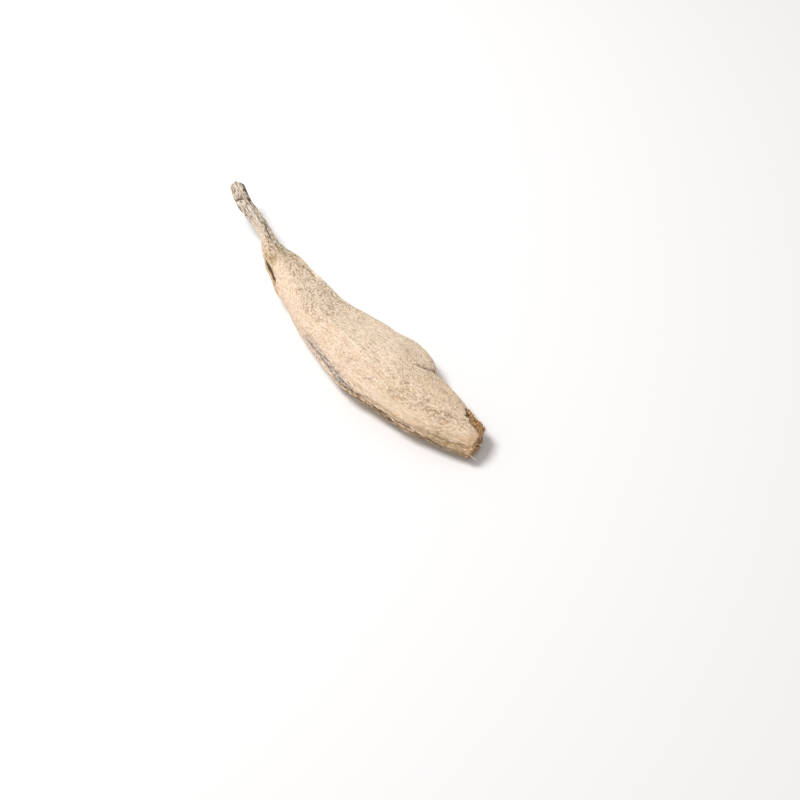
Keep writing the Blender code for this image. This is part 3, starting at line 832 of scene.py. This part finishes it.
class GeometryTree(Tree):
    """A Geometry Nodes tree with named inputs."""

    def __init__(self, name):
        self.group = bpy.data.node_groups.new(name, "GeometryNodeTree")
        self.group.interface.new_socket("Geometry", in_out="INPUT", socket_type="NodeSocketGeometry")
        self.group.interface.new_socket("Geometry", in_out="OUTPUT", socket_type="NodeSocketGeometry")
        super().__init__(self.group)
        self.entry = self.nodes.new("NodeGroupInput")
        self.exit = self.nodes.new("NodeGroupOutput")

    def geometry(self):
        """The mesh that the tree works on."""
        return Value(self, self.entry.outputs["Geometry"])

    def number(self, name):
        """A named number that whoever uses the tree sets."""
        self.group.interface.new_socket(name, in_out="INPUT", socket_type="NodeSocketFloat")
        return Value(self, self.entry.outputs[name])

    def mask(self, name):
        """A number stored on the mesh's points."""
        return self.add("GeometryNodeInputNamedAttribute", None, {"Name": name}, "Attribute")

    def store(self, geometry, name, value):
        """Keep a number on the mesh's points."""
        sockets = {"Geometry": geometry, "Name": name, "Value": value}
        return self.add("GeometryNodeStoreNamedAttribute", None, sockets)

    def set_material(self, geometry, material, selection=True):
        """Give the chosen faces a material."""
        sockets = {"Geometry": geometry, "Selection": selection, "Material": material}
        return self.add("GeometryNodeSetMaterial", None, sockets)

    def realise(self, geometry):
        """Turn instances into one plain mesh."""
        return self.add("GeometryNodeRealizeInstances", None, {"Geometry": geometry})

    def seeded(self, seed, low, high):
        """A different vector at each point, between the two given."""
        sockets = {"Min": low, "Max": high, "Seed": seed}
        return self.add("FunctionNodeRandomValue", {"data_type": "FLOAT_VECTOR"}, sockets)

    def scatter(self, selection, density, seed):
        """Points strewn over the chosen faces, so many to a square millimetre."""
        sockets = {"Mesh": self.geometry(), "Selection": selection, "Density": density * (1 / MM ** 2),
                   "Seed": seed}
        return self.add("GeometryNodeDistributePointsOnFaces", None, sockets, "Points")

    def place(self):
        """Where the mesh's points are, in metres."""
        return self.add("GeometryNodeInputPosition")

    def height(self):
        """How high the mesh's points stand above the floor."""
        return self.add("ShaderNodeSeparateXYZ", None, {"Vector": self.place()}, "Z")

    def above_floor(self, geometry):
        """Lift whatever dips below the floor up to it."""
        lifted = self.vector("MAXIMUM", self.place(), (-FLOOR_REACH, -FLOOR_REACH, 0.0))
        return self.add("GeometryNodeSetPosition", None, {"Geometry": geometry, "Position": lifted})

    def planted(self, points, shape, tilt, scale, seed):
        """The shape at every point, leaning at random away from the surface's normal."""
        upright = self.other(points, "Rotation")
        lean = self.seeded(seed, (-tilt, -tilt, 0.0), (tilt, tilt, 2 * math.pi))
        lean = self.add("FunctionNodeEulerToRotation", None, {"Euler": lean})
        sockets = {"Rotation": upright, "Rotate By": lean}
        turned = self.add("FunctionNodeRotateRotation", {"rotation_space": "LOCAL"}, sockets)
        sockets = {"Points": points, "Instance": shape, "Rotation": turned, "Scale": scale}
        return self.realise(self.add("GeometryNodeInstanceOnPoints", None, sockets))

    def roughened(self, geometry, size, amount):
        """Push every point about by noise of this size, within this much, both in millimetres."""
        place = self.place()
        offset = self.vector("SUBTRACT", self.warped(place, size, amount), place)
        return self.add("GeometryNodeSetPosition", None, {"Geometry": geometry, "Offset": offset})

    def strewn_bits(self, where, smallest, largest, tilt, seed):
        """Round bits over the chosen faces, scaled at random between two vectors."""
        density, size = self.number("Density"), self.number("Size")
        round_bit = {"Radius": 0.5 * MM, "Subdivisions": 2}
        bit = self.add("GeometryNodeMeshIcoSphere", None, round_bit, "Mesh")
        points = self.scatter(where, density, seed)
        sizes = self.add("ShaderNodeCombineXYZ", None, {"X": size, "Y": size, "Z": size})
        scale = self.vector("MULTIPLY", self.seeded(seed + 1, smallest, largest), sizes)
        return self.planted(points, bit, tilt, scale, seed + 2)

    def finish(self, geometry):
        """Send the result out."""
        self.plug(geometry, self.exit.inputs["Geometry"])


def put_in_scene(name, data):
    """A new object of this mesh, light or camera."""
    holder = bpy.data.objects.new(name, data)
    bpy.context.scene.collection.objects.link(holder)
    return holder


def grow(tree, source, name, **numbers):
    """A new object whose plain mesh is what the tree makes of the source's mesh."""
    modifier = source.modifiers.new(name, "NODES")
    modifier.node_group = tree.group
    for item in tree.group.interface.items_tree:
        key = item.name.replace(" ", "_").lower()
        if item.in_out == "INPUT" and key in numbers:
            modifier[item.identifier] = float(numbers[key])
    depsgraph = bpy.context.evaluated_depsgraph_get()
    mesh = bpy.data.meshes.new_from_object(source.evaluated_get(depsgraph))
    source.modifiers.remove(modifier)
    mesh.name = name
    return put_in_scene(name, mesh)


# -------------------------------------------------------------------------------------- materials

class MaterialTree(Tree):
    """A matte Principled material whose colour and fine relief come from expressions."""

    def __init__(self, name, roughness, sheen=0.0):
        self.material = bpy.data.materials.new(name)
        self.material.use_nodes = True
        super().__init__(self.material.node_tree)
        self.shader = self.nodes["Principled BSDF"]
        self.shader.inputs["Roughness"].default_value = roughness
        self.shader.inputs["Sheen Weight"].default_value = sheen
        self.shader.inputs["Specular IOR Level"].default_value = DRY_SPECULAR

    def place(self):
        """Places on the object, in metres."""
        return self.add("ShaderNodeTexCoord", None, None, "Object")

    def mask(self, name):
        """A number stored on the mesh's points."""
        return self.add("ShaderNodeAttribute", {"attribute_name": name}, None, "Fac")

    def drawn_out(self, along):
        """Places along and across the strip with its bends taken out, squeezed lengthwise."""
        straight = self.add("ShaderNodeAttribute", {"attribute_name": "straight"}, None, "Vector")
        return self.vector("MULTIPLY", straight, (along, 1.0, 1.0))

    def mix(self, factor, first, second):
        """The first colour, going over to the second."""
        sockets = {"Factor": factor, "A": first, "B": second}
        return self.add("ShaderNodeMix", {"data_type": "RGBA"}, sockets)

    def finish(self, colour, height):
        """Send out the colour, and the height of the fine relief in millimetres."""
        bump = self.add("ShaderNodeBump", None, {"Distance": MM, "Height": height})
        self.plug(colour, self.shader.inputs["Base Color"])
        self.plug(bump, self.shader.inputs["Normal"])
        return self.material


class SkinPatterns:
    """The masks and patterns that the skin's colour and relief are mixed from."""

    def __init__(self, tree):
        place = tree.place()
        self.grain = tree.mask("grain")
        self.strand = tree.mask("strand")
        self.stump = tree.mask("stump")
        self.crinkled = tree.mask("crinkled")
        self.blue = tree.mask("blue")

        self.broad = tree.noise(place, 13.0)
        self.rosy = tree.noise(tree.warped(place, 5.0, 2.0), 8.0)
        self.patchy = tree.noise(tree.warped(place, 3.0, 1.2), 3.6, detail=3.0)
        self.sand = tree.noise(tree.drawn_out(0.55), 0.62, roughness=0.6)
        self.micro = tree.noise(place, 0.36)
        self.streak = tree.noise(tree.drawn_out(0.20), 0.52, detail=1.0)
        self.broken = tree.noise(tree.drawn_out(0.20), 1.5, detail=3.0)
        self.line = tree.noise(tree.drawn_out(0.05), 0.62)

        hairs = tree.noise(tree.drawn_out(0.10), 1.5)
        self.hair = tree.ridges(hairs, 0.05)
        self.furrow = tree.ridges(hairs + 0.11, 0.035) * tree.ramp(self.broken, 0.46, 0.58)
        wrinkles = tree.warped(tree.drawn_out(0.6), 2.2, 1.4)
        self.wrinkle = tree.ridges(tree.noise(wrinkles, 1.7, detail=1.0), 0.09)
        pebbles = tree.warped(tree.drawn_out(0.7), 1.6, 0.8)
        self.seam = tree.ramp(tree.cells(pebbles, 1.5, "DISTANCE_TO_EDGE"), 0.20, 0.02)


def skin_ground(tree, skin):
    """Cream going over to peach and tan, with rosy, yellow and olive places, the lip's tan, and painted
    shade in the folds along the back edge and at its low corner.
    """
    peach = tree.ramp(tree.mask("peach") + (skin.patchy - 0.5) * 1.2, 0.20, 0.80)
    colour = tree.mix(peach, CREAM_SKIN, PEACH_SKIN)
    tan = tree.mask("tan") + (skin.broad - 0.5) * 0.5
    colour = tree.mix(tree.ramp(tan, 0.0, 0.9), colour, TAN_SKIN)
    colour = tree.mix(tree.ramp(skin.rosy, 0.50, 0.62) * 0.3, colour, ROSY_SKIN)
    warm = tree.mask("warm_spots") * tree.ramp(skin.patchy, 0.3, 0.6)
    colour = tree.mix(tree.ramp(skin.patchy, 0.54, 0.72) * 0.4 + warm, colour, YELLOW_SKIN)
    # Olive places, and painted shade at the low corner
    olive_and_shade = tree.mask("olive_and_shade") * (0.5 + 0.5 * tree.ramp(skin.broken, 0.40, 0.60))
    colour = tree.mix(olive_and_shade * 0.92, colour, OLIVE_SKIN_AND_SHADE)
    # The lip's tan, and painted shade in the folds where the back edge curves under
    fold_shade_and_lip = tree.mask("fold_shade_and_lip") * (0.55 + 0.45 * tree.ramp(skin.broken, 0.42, 0.60))
    colour = tree.mix(fold_shade_and_lip, colour, LIP_TAN_AND_FOLD_SHADE)
    return tree.mix(skin.stump, colour, STUMP_SKIN)


def skin_shade(tree, skin, colour):
    """Painted shade in pits, seams, hollows and furrows, partly the skin's own dark specks, then the
    green and lilac greys.
    """
    pits = tree.ramp(skin.sand, 0.50, 0.35) * (0.23 + 0.32 * skin.grain)
    seams = skin.seam * (tree.ramp(skin.patchy, 0.40, 0.60) * skin.grain * 0.36 + skin.crinkled * 0.13)
    hollows = tree.mask("hollow_shade") * 0.16 * skin.grain
    shade = pits + seams + hollows + tree.mask("shade") * 0.30 + skin.furrow * 0.34
    colour = tree.mix(shade, colour, HOLLOW_SHADE_SKIN)
    green = tree.ramp(tree.mask("green") + (skin.broken - 0.5) * 1.2, 0.30, 0.75)
    colour = tree.mix(green * 0.8, colour, GREEN_GREY)
    return tree.mix(tree.ramp(skin.blue, 0.1, 0.9) * 0.62, colour, LILAC_GREY)


def skin_grit(tree, skin, colour):
    """Painted highlights on the tops of grains, wrinkles and hairs, then the dark and pale strands."""
    bump_highlights = tree.ramp(skin.sand, 0.53, 0.66) * (0.34 + 0.22 * skin.grain)
    bump_highlights = bump_highlights + skin.wrinkle * (0.16 + 0.18 * skin.grain + 0.3 * skin.crinkled)
    colour = tree.mix((bump_highlights + skin.hair * 0.45) * (1.0 - 0.7 * skin.strand), colour, HIGHLIGHT_CREAM)
    dark_streak = tree.ramp(skin.streak, 0.50, 0.62) * (0.04 + 0.70 * skin.strand)
    colour = tree.mix(dark_streak, colour, tree.mix(skin.stump, STREAK_BROWN, STUMP_STREAK))
    pale_streak = tree.ramp(skin.streak, 0.47, 0.37) * skin.strand * 0.5
    return tree.mix(pale_streak, colour, PALE_AND_HIGHLIGHT_SKIN)


def skin_marks(tree, skin, colour):
    """The brown rim, the blue stripe with painted highlights on its grains, pale lines and painted
    highlights, brown lines of painted shade in the folds, the specks, and the dark marks and painted
    shade of gaps and cracks.
    """
    colour = tree.mix(tree.mask("rim") * (0.25 + 0.4 * skin.broken), colour, RIM_BROWN)
    strokes = skin.blue * 0.6 + (skin.line - 0.5) * 2.8 + (skin.broken - 0.5) * 0.8
    strokes = tree.ramp(strokes, 0.15, 0.95) * tree.ramp(skin.blue, 0.15, 0.8)
    colour = tree.mix(strokes * 0.78, colour, BLUE_GREY)
    # Painted highlights on the tops of the stripe's grains
    colour = tree.mix(skin.blue * tree.ramp(skin.sand, 0.56, 0.64) * 0.45, colour, HIGHLIGHT_CREAM)
    # Pale bands and lines, and painted highlights on rims and the lateral line
    pale_and_highlight = tree.ramp(tree.mask("pale_and_highlight") + (skin.broken - 0.5) * 0.8, 0.30, 0.80)
    colour = tree.mix(pale_and_highlight * 0.75, colour, PALE_AND_HIGHLIGHT_SKIN)
    # Brown lines of painted shade between the folds
    fold_shade_and_lip = tree.mask("fold_shade_and_lip")
    fold_shade_line = tree.ramp(fold_shade_and_lip * 0.4 + (skin.line - 0.5) * 3.0, 0.20, 0.62) * fold_shade_and_lip
    colour = tree.mix(fold_shade_line * 0.95, colour, STREAK_BROWN)
    specks = tree.ramp(tree.mask("specks") + (skin.sand - 0.5) * 1.5, 0.35, 0.75)
    colour = tree.mix(specks * 0.65, colour, PURPLE_GREY)
    uneven = (skin.sand - 0.5) * 0.9 + (skin.streak - 0.5) * 0.6 + (skin.broken - 0.5) * 1.0
    # Painted shade in gaps, cracks and creases, with the tail tip's dark edge and spot
    lines = tree.mask("dark_marks_and_shade")
    dark_marks_and_shade = tree.ramp(lines + lines * uneven, 0.35, 0.80)
    return tree.mix(dark_marks_and_shade * 0.95, colour, DARK_AND_SHADE_BROWN)


def skin_material():
    """Dry, matte fish skin: cream going to peach and tan, gritty, with marks along its edges, painted
    shade in its hollows and creases and painted highlights on its grains and rims.
    """
    tree = MaterialTree("dried_fish_skin", roughness=SKIN_ROUGHNESS, sheen=SKIN_SHEEN)
    skin = SkinPatterns(tree)
    colour = skin_ground(tree, skin)
    for layer in (skin_shade, skin_grit, skin_marks):
        colour = layer(tree, skin, colour)

    fine = 0.26 * skin.sand + 0.17 * skin.micro + (0.10 + 0.15 * skin.crinkled) * skin.wrinkle
    fine = (fine - 0.12 * skin.seam) * (0.35 + 0.65 * skin.grain)
    return tree.finish(colour, fine - 0.30 * skin.streak * skin.strand + 0.06 * skin.hair)


def flesh_material():
    """Torn, porous flesh: golden brown with straw-coloured crumbs, and painted shade in its pores and
    hollows and under the torn skin.
    """
    tree = MaterialTree("torn_dried_flesh", roughness=FLESH_ROUGHNESS)
    place = tree.place()
    loose = tree.warped(place, 2.0, 1.0)
    coarse = tree.noise(loose, 1.9, detail=4.0)
    broad = tree.noise(place, 7.0)
    micro = tree.noise(place, 0.4, detail=3.0)
    pore = tree.ramp(tree.cells(loose, 1.2), 0.46, 0.18)

    colour = tree.mix(tree.ramp(coarse, 0.36, 0.62), FLESH_BROWN, FLESH_STRAW)
    pink = tree.ramp(tree.mask("pink") + (broad - 0.5) * 1.2, 0.15, 0.70)
    colour = tree.mix(pink * (0.5 + 0.4 * tree.ramp(coarse, 0.40, 0.58)), colour, FLESH_PINK)
    colour = tree.mix(tree.mask("pocket") * tree.ramp(coarse, 0.62, 0.40) * 0.8, colour, MEMBRANE)
    # Painted shade: the grain's hollows, the pores and the hollow under the torn skin go dark brown
    colour = tree.mix(tree.mask("hollow_shade") * (0.9 - 0.35 * pink), colour, PORE_SHADE_BROWN)
    colour = tree.mix(pore * tree.ramp(coarse, 0.60, 0.45) * (0.9 - 0.6 * pink), colour, PORE_SHADE_BROWN)
    colour = tree.mix(tree.mask("undercut_shade") * tree.ramp(coarse, 0.64, 0.46) * 0.85, colour, PORE_SHADE_BROWN)
    colour = tree.mix(tree.ramp(micro, 0.54, 0.68) * 0.5, colour, FIBRE_STRAW)
    return tree.finish(colour, 0.25 * micro - 0.2 * pore)


def crumb_material():
    """Dry crumbs of flesh, straw to brown, and pink where the flesh under them is."""
    tree = MaterialTree("flesh_crumb", roughness=FLESH_ROUGHNESS)
    place = tree.place()
    patchy = tree.noise(place, 0.9, detail=3.0)
    micro = tree.noise(place, 0.3)
    colour = tree.mix(tree.ramp(patchy, 0.42, 0.64), FLESH_STRAW, FLESH_BROWN)
    colour = tree.mix(tree.ramp(patchy, 0.50, 0.38) * 0.7, colour, FIBRE_STRAW)
    pink = tree.ramp(tree.mask("pink") + (patchy - 0.5) * 1.2, 0.15, 0.70)
    return tree.finish(tree.mix(pink * 0.6, colour, FLESH_PINK), 0.05 * micro)


def plain_dry_material(name, colour, shade, patch):
    """Dry matter of one colour, shaded in patches of the given size in millimetres."""
    tree = MaterialTree(name, roughness=SKIN_ROUGHNESS, sheen=LOOSE_SHEEN)
    place = tree.place()
    patches = tree.ramp(tree.noise(place, patch, detail=3.0), 0.35, 0.70)
    return tree.finish(tree.mix(patches, colour, shade), 0.05 * tree.noise(place, 0.3))


# ------------------------------------------------------------------------------------- the pieces

def closed_loft(rings):
    """Points and faces of a closed skin over a stack of rings, with its ends drawn to a point."""
    rows, count = len(rings), rings.shape[1]
    points = np.concatenate([rings.reshape(-1, 3), [rings[0].mean(axis=0)], [rings[-1].mean(axis=0)]])
    row, step = np.meshgrid(np.arange(rows - 1), np.arange(count), indexing="ij")
    here = (row * count + step).ravel()
    beside = (row * count + (step + 1) % count).ravel()
    faces = np.stack([here, beside, beside + count, here + count], axis=1).tolist()
    first, last = rows * count, rows * count + 1
    for step in range(count):
        following = (step + 1) % count
        faces.append([first, following, step])
        faces.append([last, (rows - 1) * count + step, (rows - 1) * count + following])
    return points, faces


def keep_straight(mesh, straight, lining):
    """Store each point's place with the strip's bends taken out, in metres."""
    at_tip = np.repeat(straight[:1], TIP_RINGS, axis=0)
    rings = np.concatenate([at_tip, straight, lining]).reshape(-1, 3)
    places = np.concatenate([rings, straight[0, :1], lining[-1, :1]]) * MM
    mesh.attributes.new("straight", "FLOAT_VECTOR", "POINT").data.foreach_set("vector", places.ravel())


def keep_mask(mesh, name, at_tip, on_skin, at_cut, end_points):
    """Store a number on the points of the tail's cap, the skin, the cut and the loft's two ends."""
    tip = np.broadcast_to(at_tip, (TIP_RINGS, POINTS_AROUND))
    cut = np.broadcast_to(at_cut, (CUT_RINGS, POINTS_AROUND))
    values = np.concatenate([tip.ravel(), on_skin.ravel(), cut.ravel(), end_points])
    mesh.attributes.new(name, "FLOAT", "POINT").data.foreach_set("value", values.astype(np.float32))


def keep_masks(mesh, at, down_pocket):
    """Store the tints, and where the surface is whole skin, gutted pocket and frayed edge."""
    for name, values in tints(at).items():
        keep_mask(mesh, name, values[0], values, values[-1], [values[0, 0], 0.0])
    bare = torn_back(at)
    keep_mask(mesh, "skin", 1.0, 1.0 - bare, 0.0, [1, 0])
    keep_mask(mesh, "pocket", 0.0, np.zeros_like(bare), down_pocket[:, None], [0, 1])
    at_rim = ramp(at.along, 0.985, 1.0) + (1 - ramp(at.along, 0.0, 0.012)) + bare
    torn = 1.0 - ramp(down_pocket, 0.1, 0.5)
    keep_mask(mesh, "fray", 1.0, at_rim, torn[:, None], [1, 0])


def bare_strip(low, high):
    """The strip with its form and its marks, before the fine grain."""
    angle = np.linspace(0.0, 2 * math.pi, POINTS_AROUND, endpoint=False)
    skin, at = outer_skin(angle)
    skin = skin + surface_normals(skin) * fine_relief(at)[:, :, None]
    cap = tail_cap(skin[0])
    lining, down_pocket = cut_lining(angle)
    cap, skin, lining = set_in_frame([cap, skin, lining], low, high)
    points, faces = closed_loft(np.concatenate([cap, skin, lining]))

    mesh = bpy.data.meshes.new("bare_strip")
    mesh.from_pydata(points * MM, [], faces)
    mesh.shade_smooth()
    keep_straight(mesh, at.straight, lining)
    keep_masks(mesh, at, down_pocket)
    return put_in_scene("bare_strip", mesh)


def grain_tree(skin, flesh):
    """Fine grain all over: crumples and pebbles in the skin, pores in the flesh."""
    tree = GeometryTree("fine_grain")
    crumple_size, crumple_depth = tree.number("Crumple Size"), tree.number("Crumple Depth")
    pebble_size, pebble_depth = tree.number("Pebble Size"), tree.number("Pebble Depth")
    pore_size, pore_depth = tree.number("Pore Size"), tree.number("Pore Depth")
    place = tree.place()
    on_skin = tree.mask("skin")

    crumple_place = tree.vector("MULTIPLY", tree.warped(place, 3.0, 1.5), (0.7, 1.0, 1.0))
    crumple = tree.noise(crumple_place, crumple_size) - 0.5
    pebble = tree.noise(place, pebble_size, detail=1.0) - 0.5
    pore = tree.noise(tree.warped(place, 2.0, 1.0), pore_size, detail=3.0, roughness=0.6) - 0.5
    skin_height = (crumple * crumple_depth + pebble * pebble_depth) * tree.mask("grain")
    flesh_height = pore * pore_depth
    height = skin_height * on_skin + flesh_height * (1.0 - on_skin)
    # Painted shade for the grain's hollows, where crumples, pebbles and pores dip
    hollow_shade = tree.ramp((crumple * 0.6 + pebble * 0.6) * on_skin + pore * (1.0 - on_skin), 0.12, -0.16)

    geometry = tree.store(tree.geometry(), "hollow_shade", hollow_shade)
    sockets = {"Vector": tree.add("GeometryNodeInputNormal"), "Scale": height * MM}
    offset = tree.add("ShaderNodeVectorMath", {"operation": "SCALE"}, sockets)
    geometry = tree.add("GeometryNodeSetPosition", None, {"Geometry": geometry, "Offset": offset})
    geometry = tree.set_material(tree.realise(tree.above_floor(geometry)), skin)
    torn = tree.math("LESS_THAN", on_skin, 0.5)
    tree.finish(tree.set_material(geometry, flesh, torn))
    return tree


def fibre_tree(material):
    """Frayed fibres that stand out of the torn edges, each a bent and tapering thread."""
    tree = GeometryTree("frayed_fibres")
    density, thickness = tree.number("Density"), tree.number("Thickness")
    shortest, longest = tree.number("Shortest"), tree.number("Longest")
    bend = tree.add("ShaderNodeCombineXYZ", None, {"X": 0.35 * longest * MM, "Z": 0.5})
    sockets = {"Resolution": 5, "Start": (0, 0, -0.1), "Middle": bend, "End": (0, 0, 1)}
    thread = tree.add("GeometryNodeCurveQuadraticBezier", None, sockets)
    round_profile = tree.add("GeometryNodeCurvePrimitiveCircle", None,
                             {"Resolution": 3, "Radius": 0.5 * thickness * MM}, "Curve")
    taper = 1.0 - 0.8 * tree.add("GeometryNodeSplineParameter", None, None, "Factor")
    sockets = {"Curve": thread, "Profile Curve": round_profile, "Scale": taper, "Fill Caps": True}
    fibre = tree.add("GeometryNodeCurveToMesh", None, sockets)

    frayed = tree.math("GREATER_THAN", tree.mask("fray"), 0.5)
    points = tree.scatter(frayed, density, seed=3)
    draw = tree.seeded(4, (0, 0, 0), (1, 1, 1))
    draw = tree.add("ShaderNodeSeparateXYZ", None, {"Vector": draw}, "X")
    room = tree.math("MINIMUM", 1.0, tree.height() * (1 / (LOW_FIBRES * MM)))
    length = (shortest + (longest - shortest) * draw * draw) * room * MM
    scale = tree.add("ShaderNodeCombineXYZ", None, {"X": 1.0, "Y": 1.0, "Z": length})
    fibres = tree.planted(points, fibre, 0.9, scale, seed=5)
    tree.finish(tree.set_material(fibres, material))
    return tree


def crumb_tree(material):
    """Crumbs of dry flesh that cling to the torn end."""
    tree = GeometryTree("flesh_crumbs")
    clear = tree.math("GREATER_THAN", tree.height(), LOW_CRUMBS * MM)
    open_flesh = (1.0 - tree.mask("skin")) * (1.0 - tree.mask("undercut_shade"))
    torn = tree.math("GREATER_THAN", tree.mask("fray") * open_flesh * clear, 0.5)
    crumbs = tree.strewn_bits(torn, (0.4, 0.4, 0.3), (1.2, 1.0, 0.9), tilt=0.6, seed=6)
    tree.finish(tree.set_material(tree.roughened(crumbs, 0.7, 0.9), material))
    return tree


def flake_tree(material):
    """Small flakes of skin that have lifted from the surface."""
    tree = GeometryTree("skin_flakes")
    clear = tree.math("GREATER_THAN", tree.height(), LOW_CRUMBS * MM)
    whole = tree.math("GREATER_THAN", tree.mask("skin") * clear, 0.99)
    flakes = tree.strewn_bits(whole, (0.6, 0.4, 0.10), (1.5, 1.1, 0.18), tilt=0.22, seed=9)
    tree.finish(tree.set_material(tree.roughened(flakes, 1.1, 0.5), material))
    return tree


def splinter_rings(root, tip, thickness, bend):
    """Rings of one thin, bent and pointed splinter of bone, in millimetres."""
    root, tip = np.array(root), np.array(tip)
    axis = unit(tip - root)
    side = unit(np.cross(axis, [0.0, 0.0, 1.0]))
    over = np.cross(axis, side)
    angle = np.linspace(0.0, 2 * math.pi, SPLINTER_SIDES, endpoint=False)
    rings = []
    for share in np.linspace(0.0, 1.0, SPLINTER_RINGS):
        centre = root + (tip - root) * share + over * bend * math.sin(math.pi * share)
        radius = 0.5 * thickness * (1.0 - 0.85 * share ** 1.5)
        around = np.cos(angle)[:, None] * side + 0.6 * np.sin(angle)[:, None] * over
        rings.append(centre + radius * around)
    return np.array(rings)


def bone_splinters(material):
    """A few white ends of fine bones, sticking out of the torn flesh."""
    points, faces = [], []
    for root, tip, thickness, bend in SPLINTERS:
        ring_points, ring_faces = closed_loft(splinter_rings(root, tip, thickness, bend))
        faces.extend([[corner + len(points) for corner in face] for face in ring_faces])
        points.extend(ring_points * MM)
    mesh = bpy.data.meshes.new("bone_splinters")
    mesh.from_pydata([tuple(point) for point in points], [], faces)
    mesh.shade_smooth()
    mesh.materials.append(material)
    return put_in_scene("bone_splinters", mesh)


# ------------------------------------------------------------------------------------- the studio

def add_camera():
    """Look at the strip as the photograph does."""
    azimuth, elevation = math.radians(VIEW_AZIMUTH), math.radians(VIEW_ELEVATION)
    back = Vector((math.sin(azimuth) * math.cos(elevation),
                   -math.cos(azimuth) * math.cos(elevation),
                   math.sin(elevation)))
    camera = bpy.data.cameras.new("camera")
    camera.lens = VIEW_LENS
    camera.sensor_width = VIEW_SENSOR
    camera.clip_start = 0.01
    holder = put_in_scene("camera", camera)
    holder.location = (Vector(VIEW_AIM) + back * VIEW_DISTANCE) * MM
    holder.rotation_euler = (-back).to_track_quat("-Z", "Y").to_euler()
    bpy.context.scene.camera = holder


def add_key_light():
    """A large square soft light that faces the strip, from above its tail and its back edge."""
    light = bpy.data.lights.new("key_light", "AREA")
    light.energy = KEY_POWER
    light.size = KEY_SIZE
    towards = Vector(KEY_DIRECTION).normalized()
    holder = put_in_scene("key_light", light)
    holder.location = towards * KEY_DISTANCE
    holder.rotation_euler = (-towards).to_track_quat("-Z", "Y").to_euler()


def add_floor():
    """A plain pale floor."""
    mesh = bpy.data.meshes.new("floor")
    corners = [(x * FLOOR_REACH, y * FLOOR_REACH, 0) for x, y in ((-1, -1), (1, -1), (1, 1), (-1, 1))]
    mesh.from_pydata(corners, [], [(0, 1, 2, 3)])
    material = bpy.data.materials.new("pale_and_highlight_floor")
    material.use_nodes = True
    shader = material.node_tree.nodes["Principled BSDF"]
    shader.inputs["Base Color"].default_value = FLOOR_WHITE
    shader.inputs["Roughness"].default_value = FLOOR_ROUGHNESS
    mesh.materials.append(material)
    put_in_scene("floor", mesh)


def add_studio():
    """Soft white light from all round, a key light and a pale floor."""
    world = bpy.data.worlds.new("studio")
    world.use_nodes = True
    background = world.node_tree.nodes["Background"]
    background.inputs["Color"].default_value = SKY_WHITE
    background.inputs["Strength"].default_value = SKY_STRENGTH
    bpy.context.scene.world = world
    bpy.context.scene.view_settings.view_transform = "Standard"
    add_key_light()
    add_floor()


def show(piece):
    """Let a finished piece ride on the strip's body."""
    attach(piece, BODY)


def main():
    """Dress the frame."""
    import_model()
    add_camera()
    add_studio()

    low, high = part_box(SOLID)
    bare = bare_strip(low, high)
    grain = grain_tree(skin_material(), flesh_material())
    strip = grow(grain, bare, "dried_strip", crumple_size=CRUMPLE_SIZE, crumple_depth=CRUMPLE_DEPTH,
                 pebble_size=PEBBLE_SIZE, pebble_depth=PEBBLE_DEPTH,
                 pore_size=PORE_SIZE, pore_depth=PORE_DEPTH)
    bpy.data.objects.remove(bare)

    fibres = plain_dry_material("frayed_fibre", FIBRE_STRAW, FLESH_STRAW, patch=2.0)
    flakes = plain_dry_material("skin_flake", FLAKE_CREAM, TAN_SKIN, patch=1.5)
    bone = plain_dry_material("dry_bone", BONE_WHITE, FIBRE_STRAW, patch=1.2)
    crumbs = crumb_material()
    loose = [
        grow(fibre_tree(fibres), strip, "frayed_fibres", density=FRAY_DENSITY, thickness=FRAY_THICKNESS,
             shortest=SHORTEST_FRAY, longest=LONGEST_FRAY),
        grow(crumb_tree(crumbs), strip, "flesh_crumbs", density=CRUMB_DENSITY, size=CRUMB_SIZE),
        grow(flake_tree(flakes), strip, "skin_flakes", density=FLAKE_DENSITY, size=FLAKE_SIZE),
        bone_splinters(bone),
    ]
    for piece in [strip] + loose:
        show(piece)
    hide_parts(SOLID)


main()
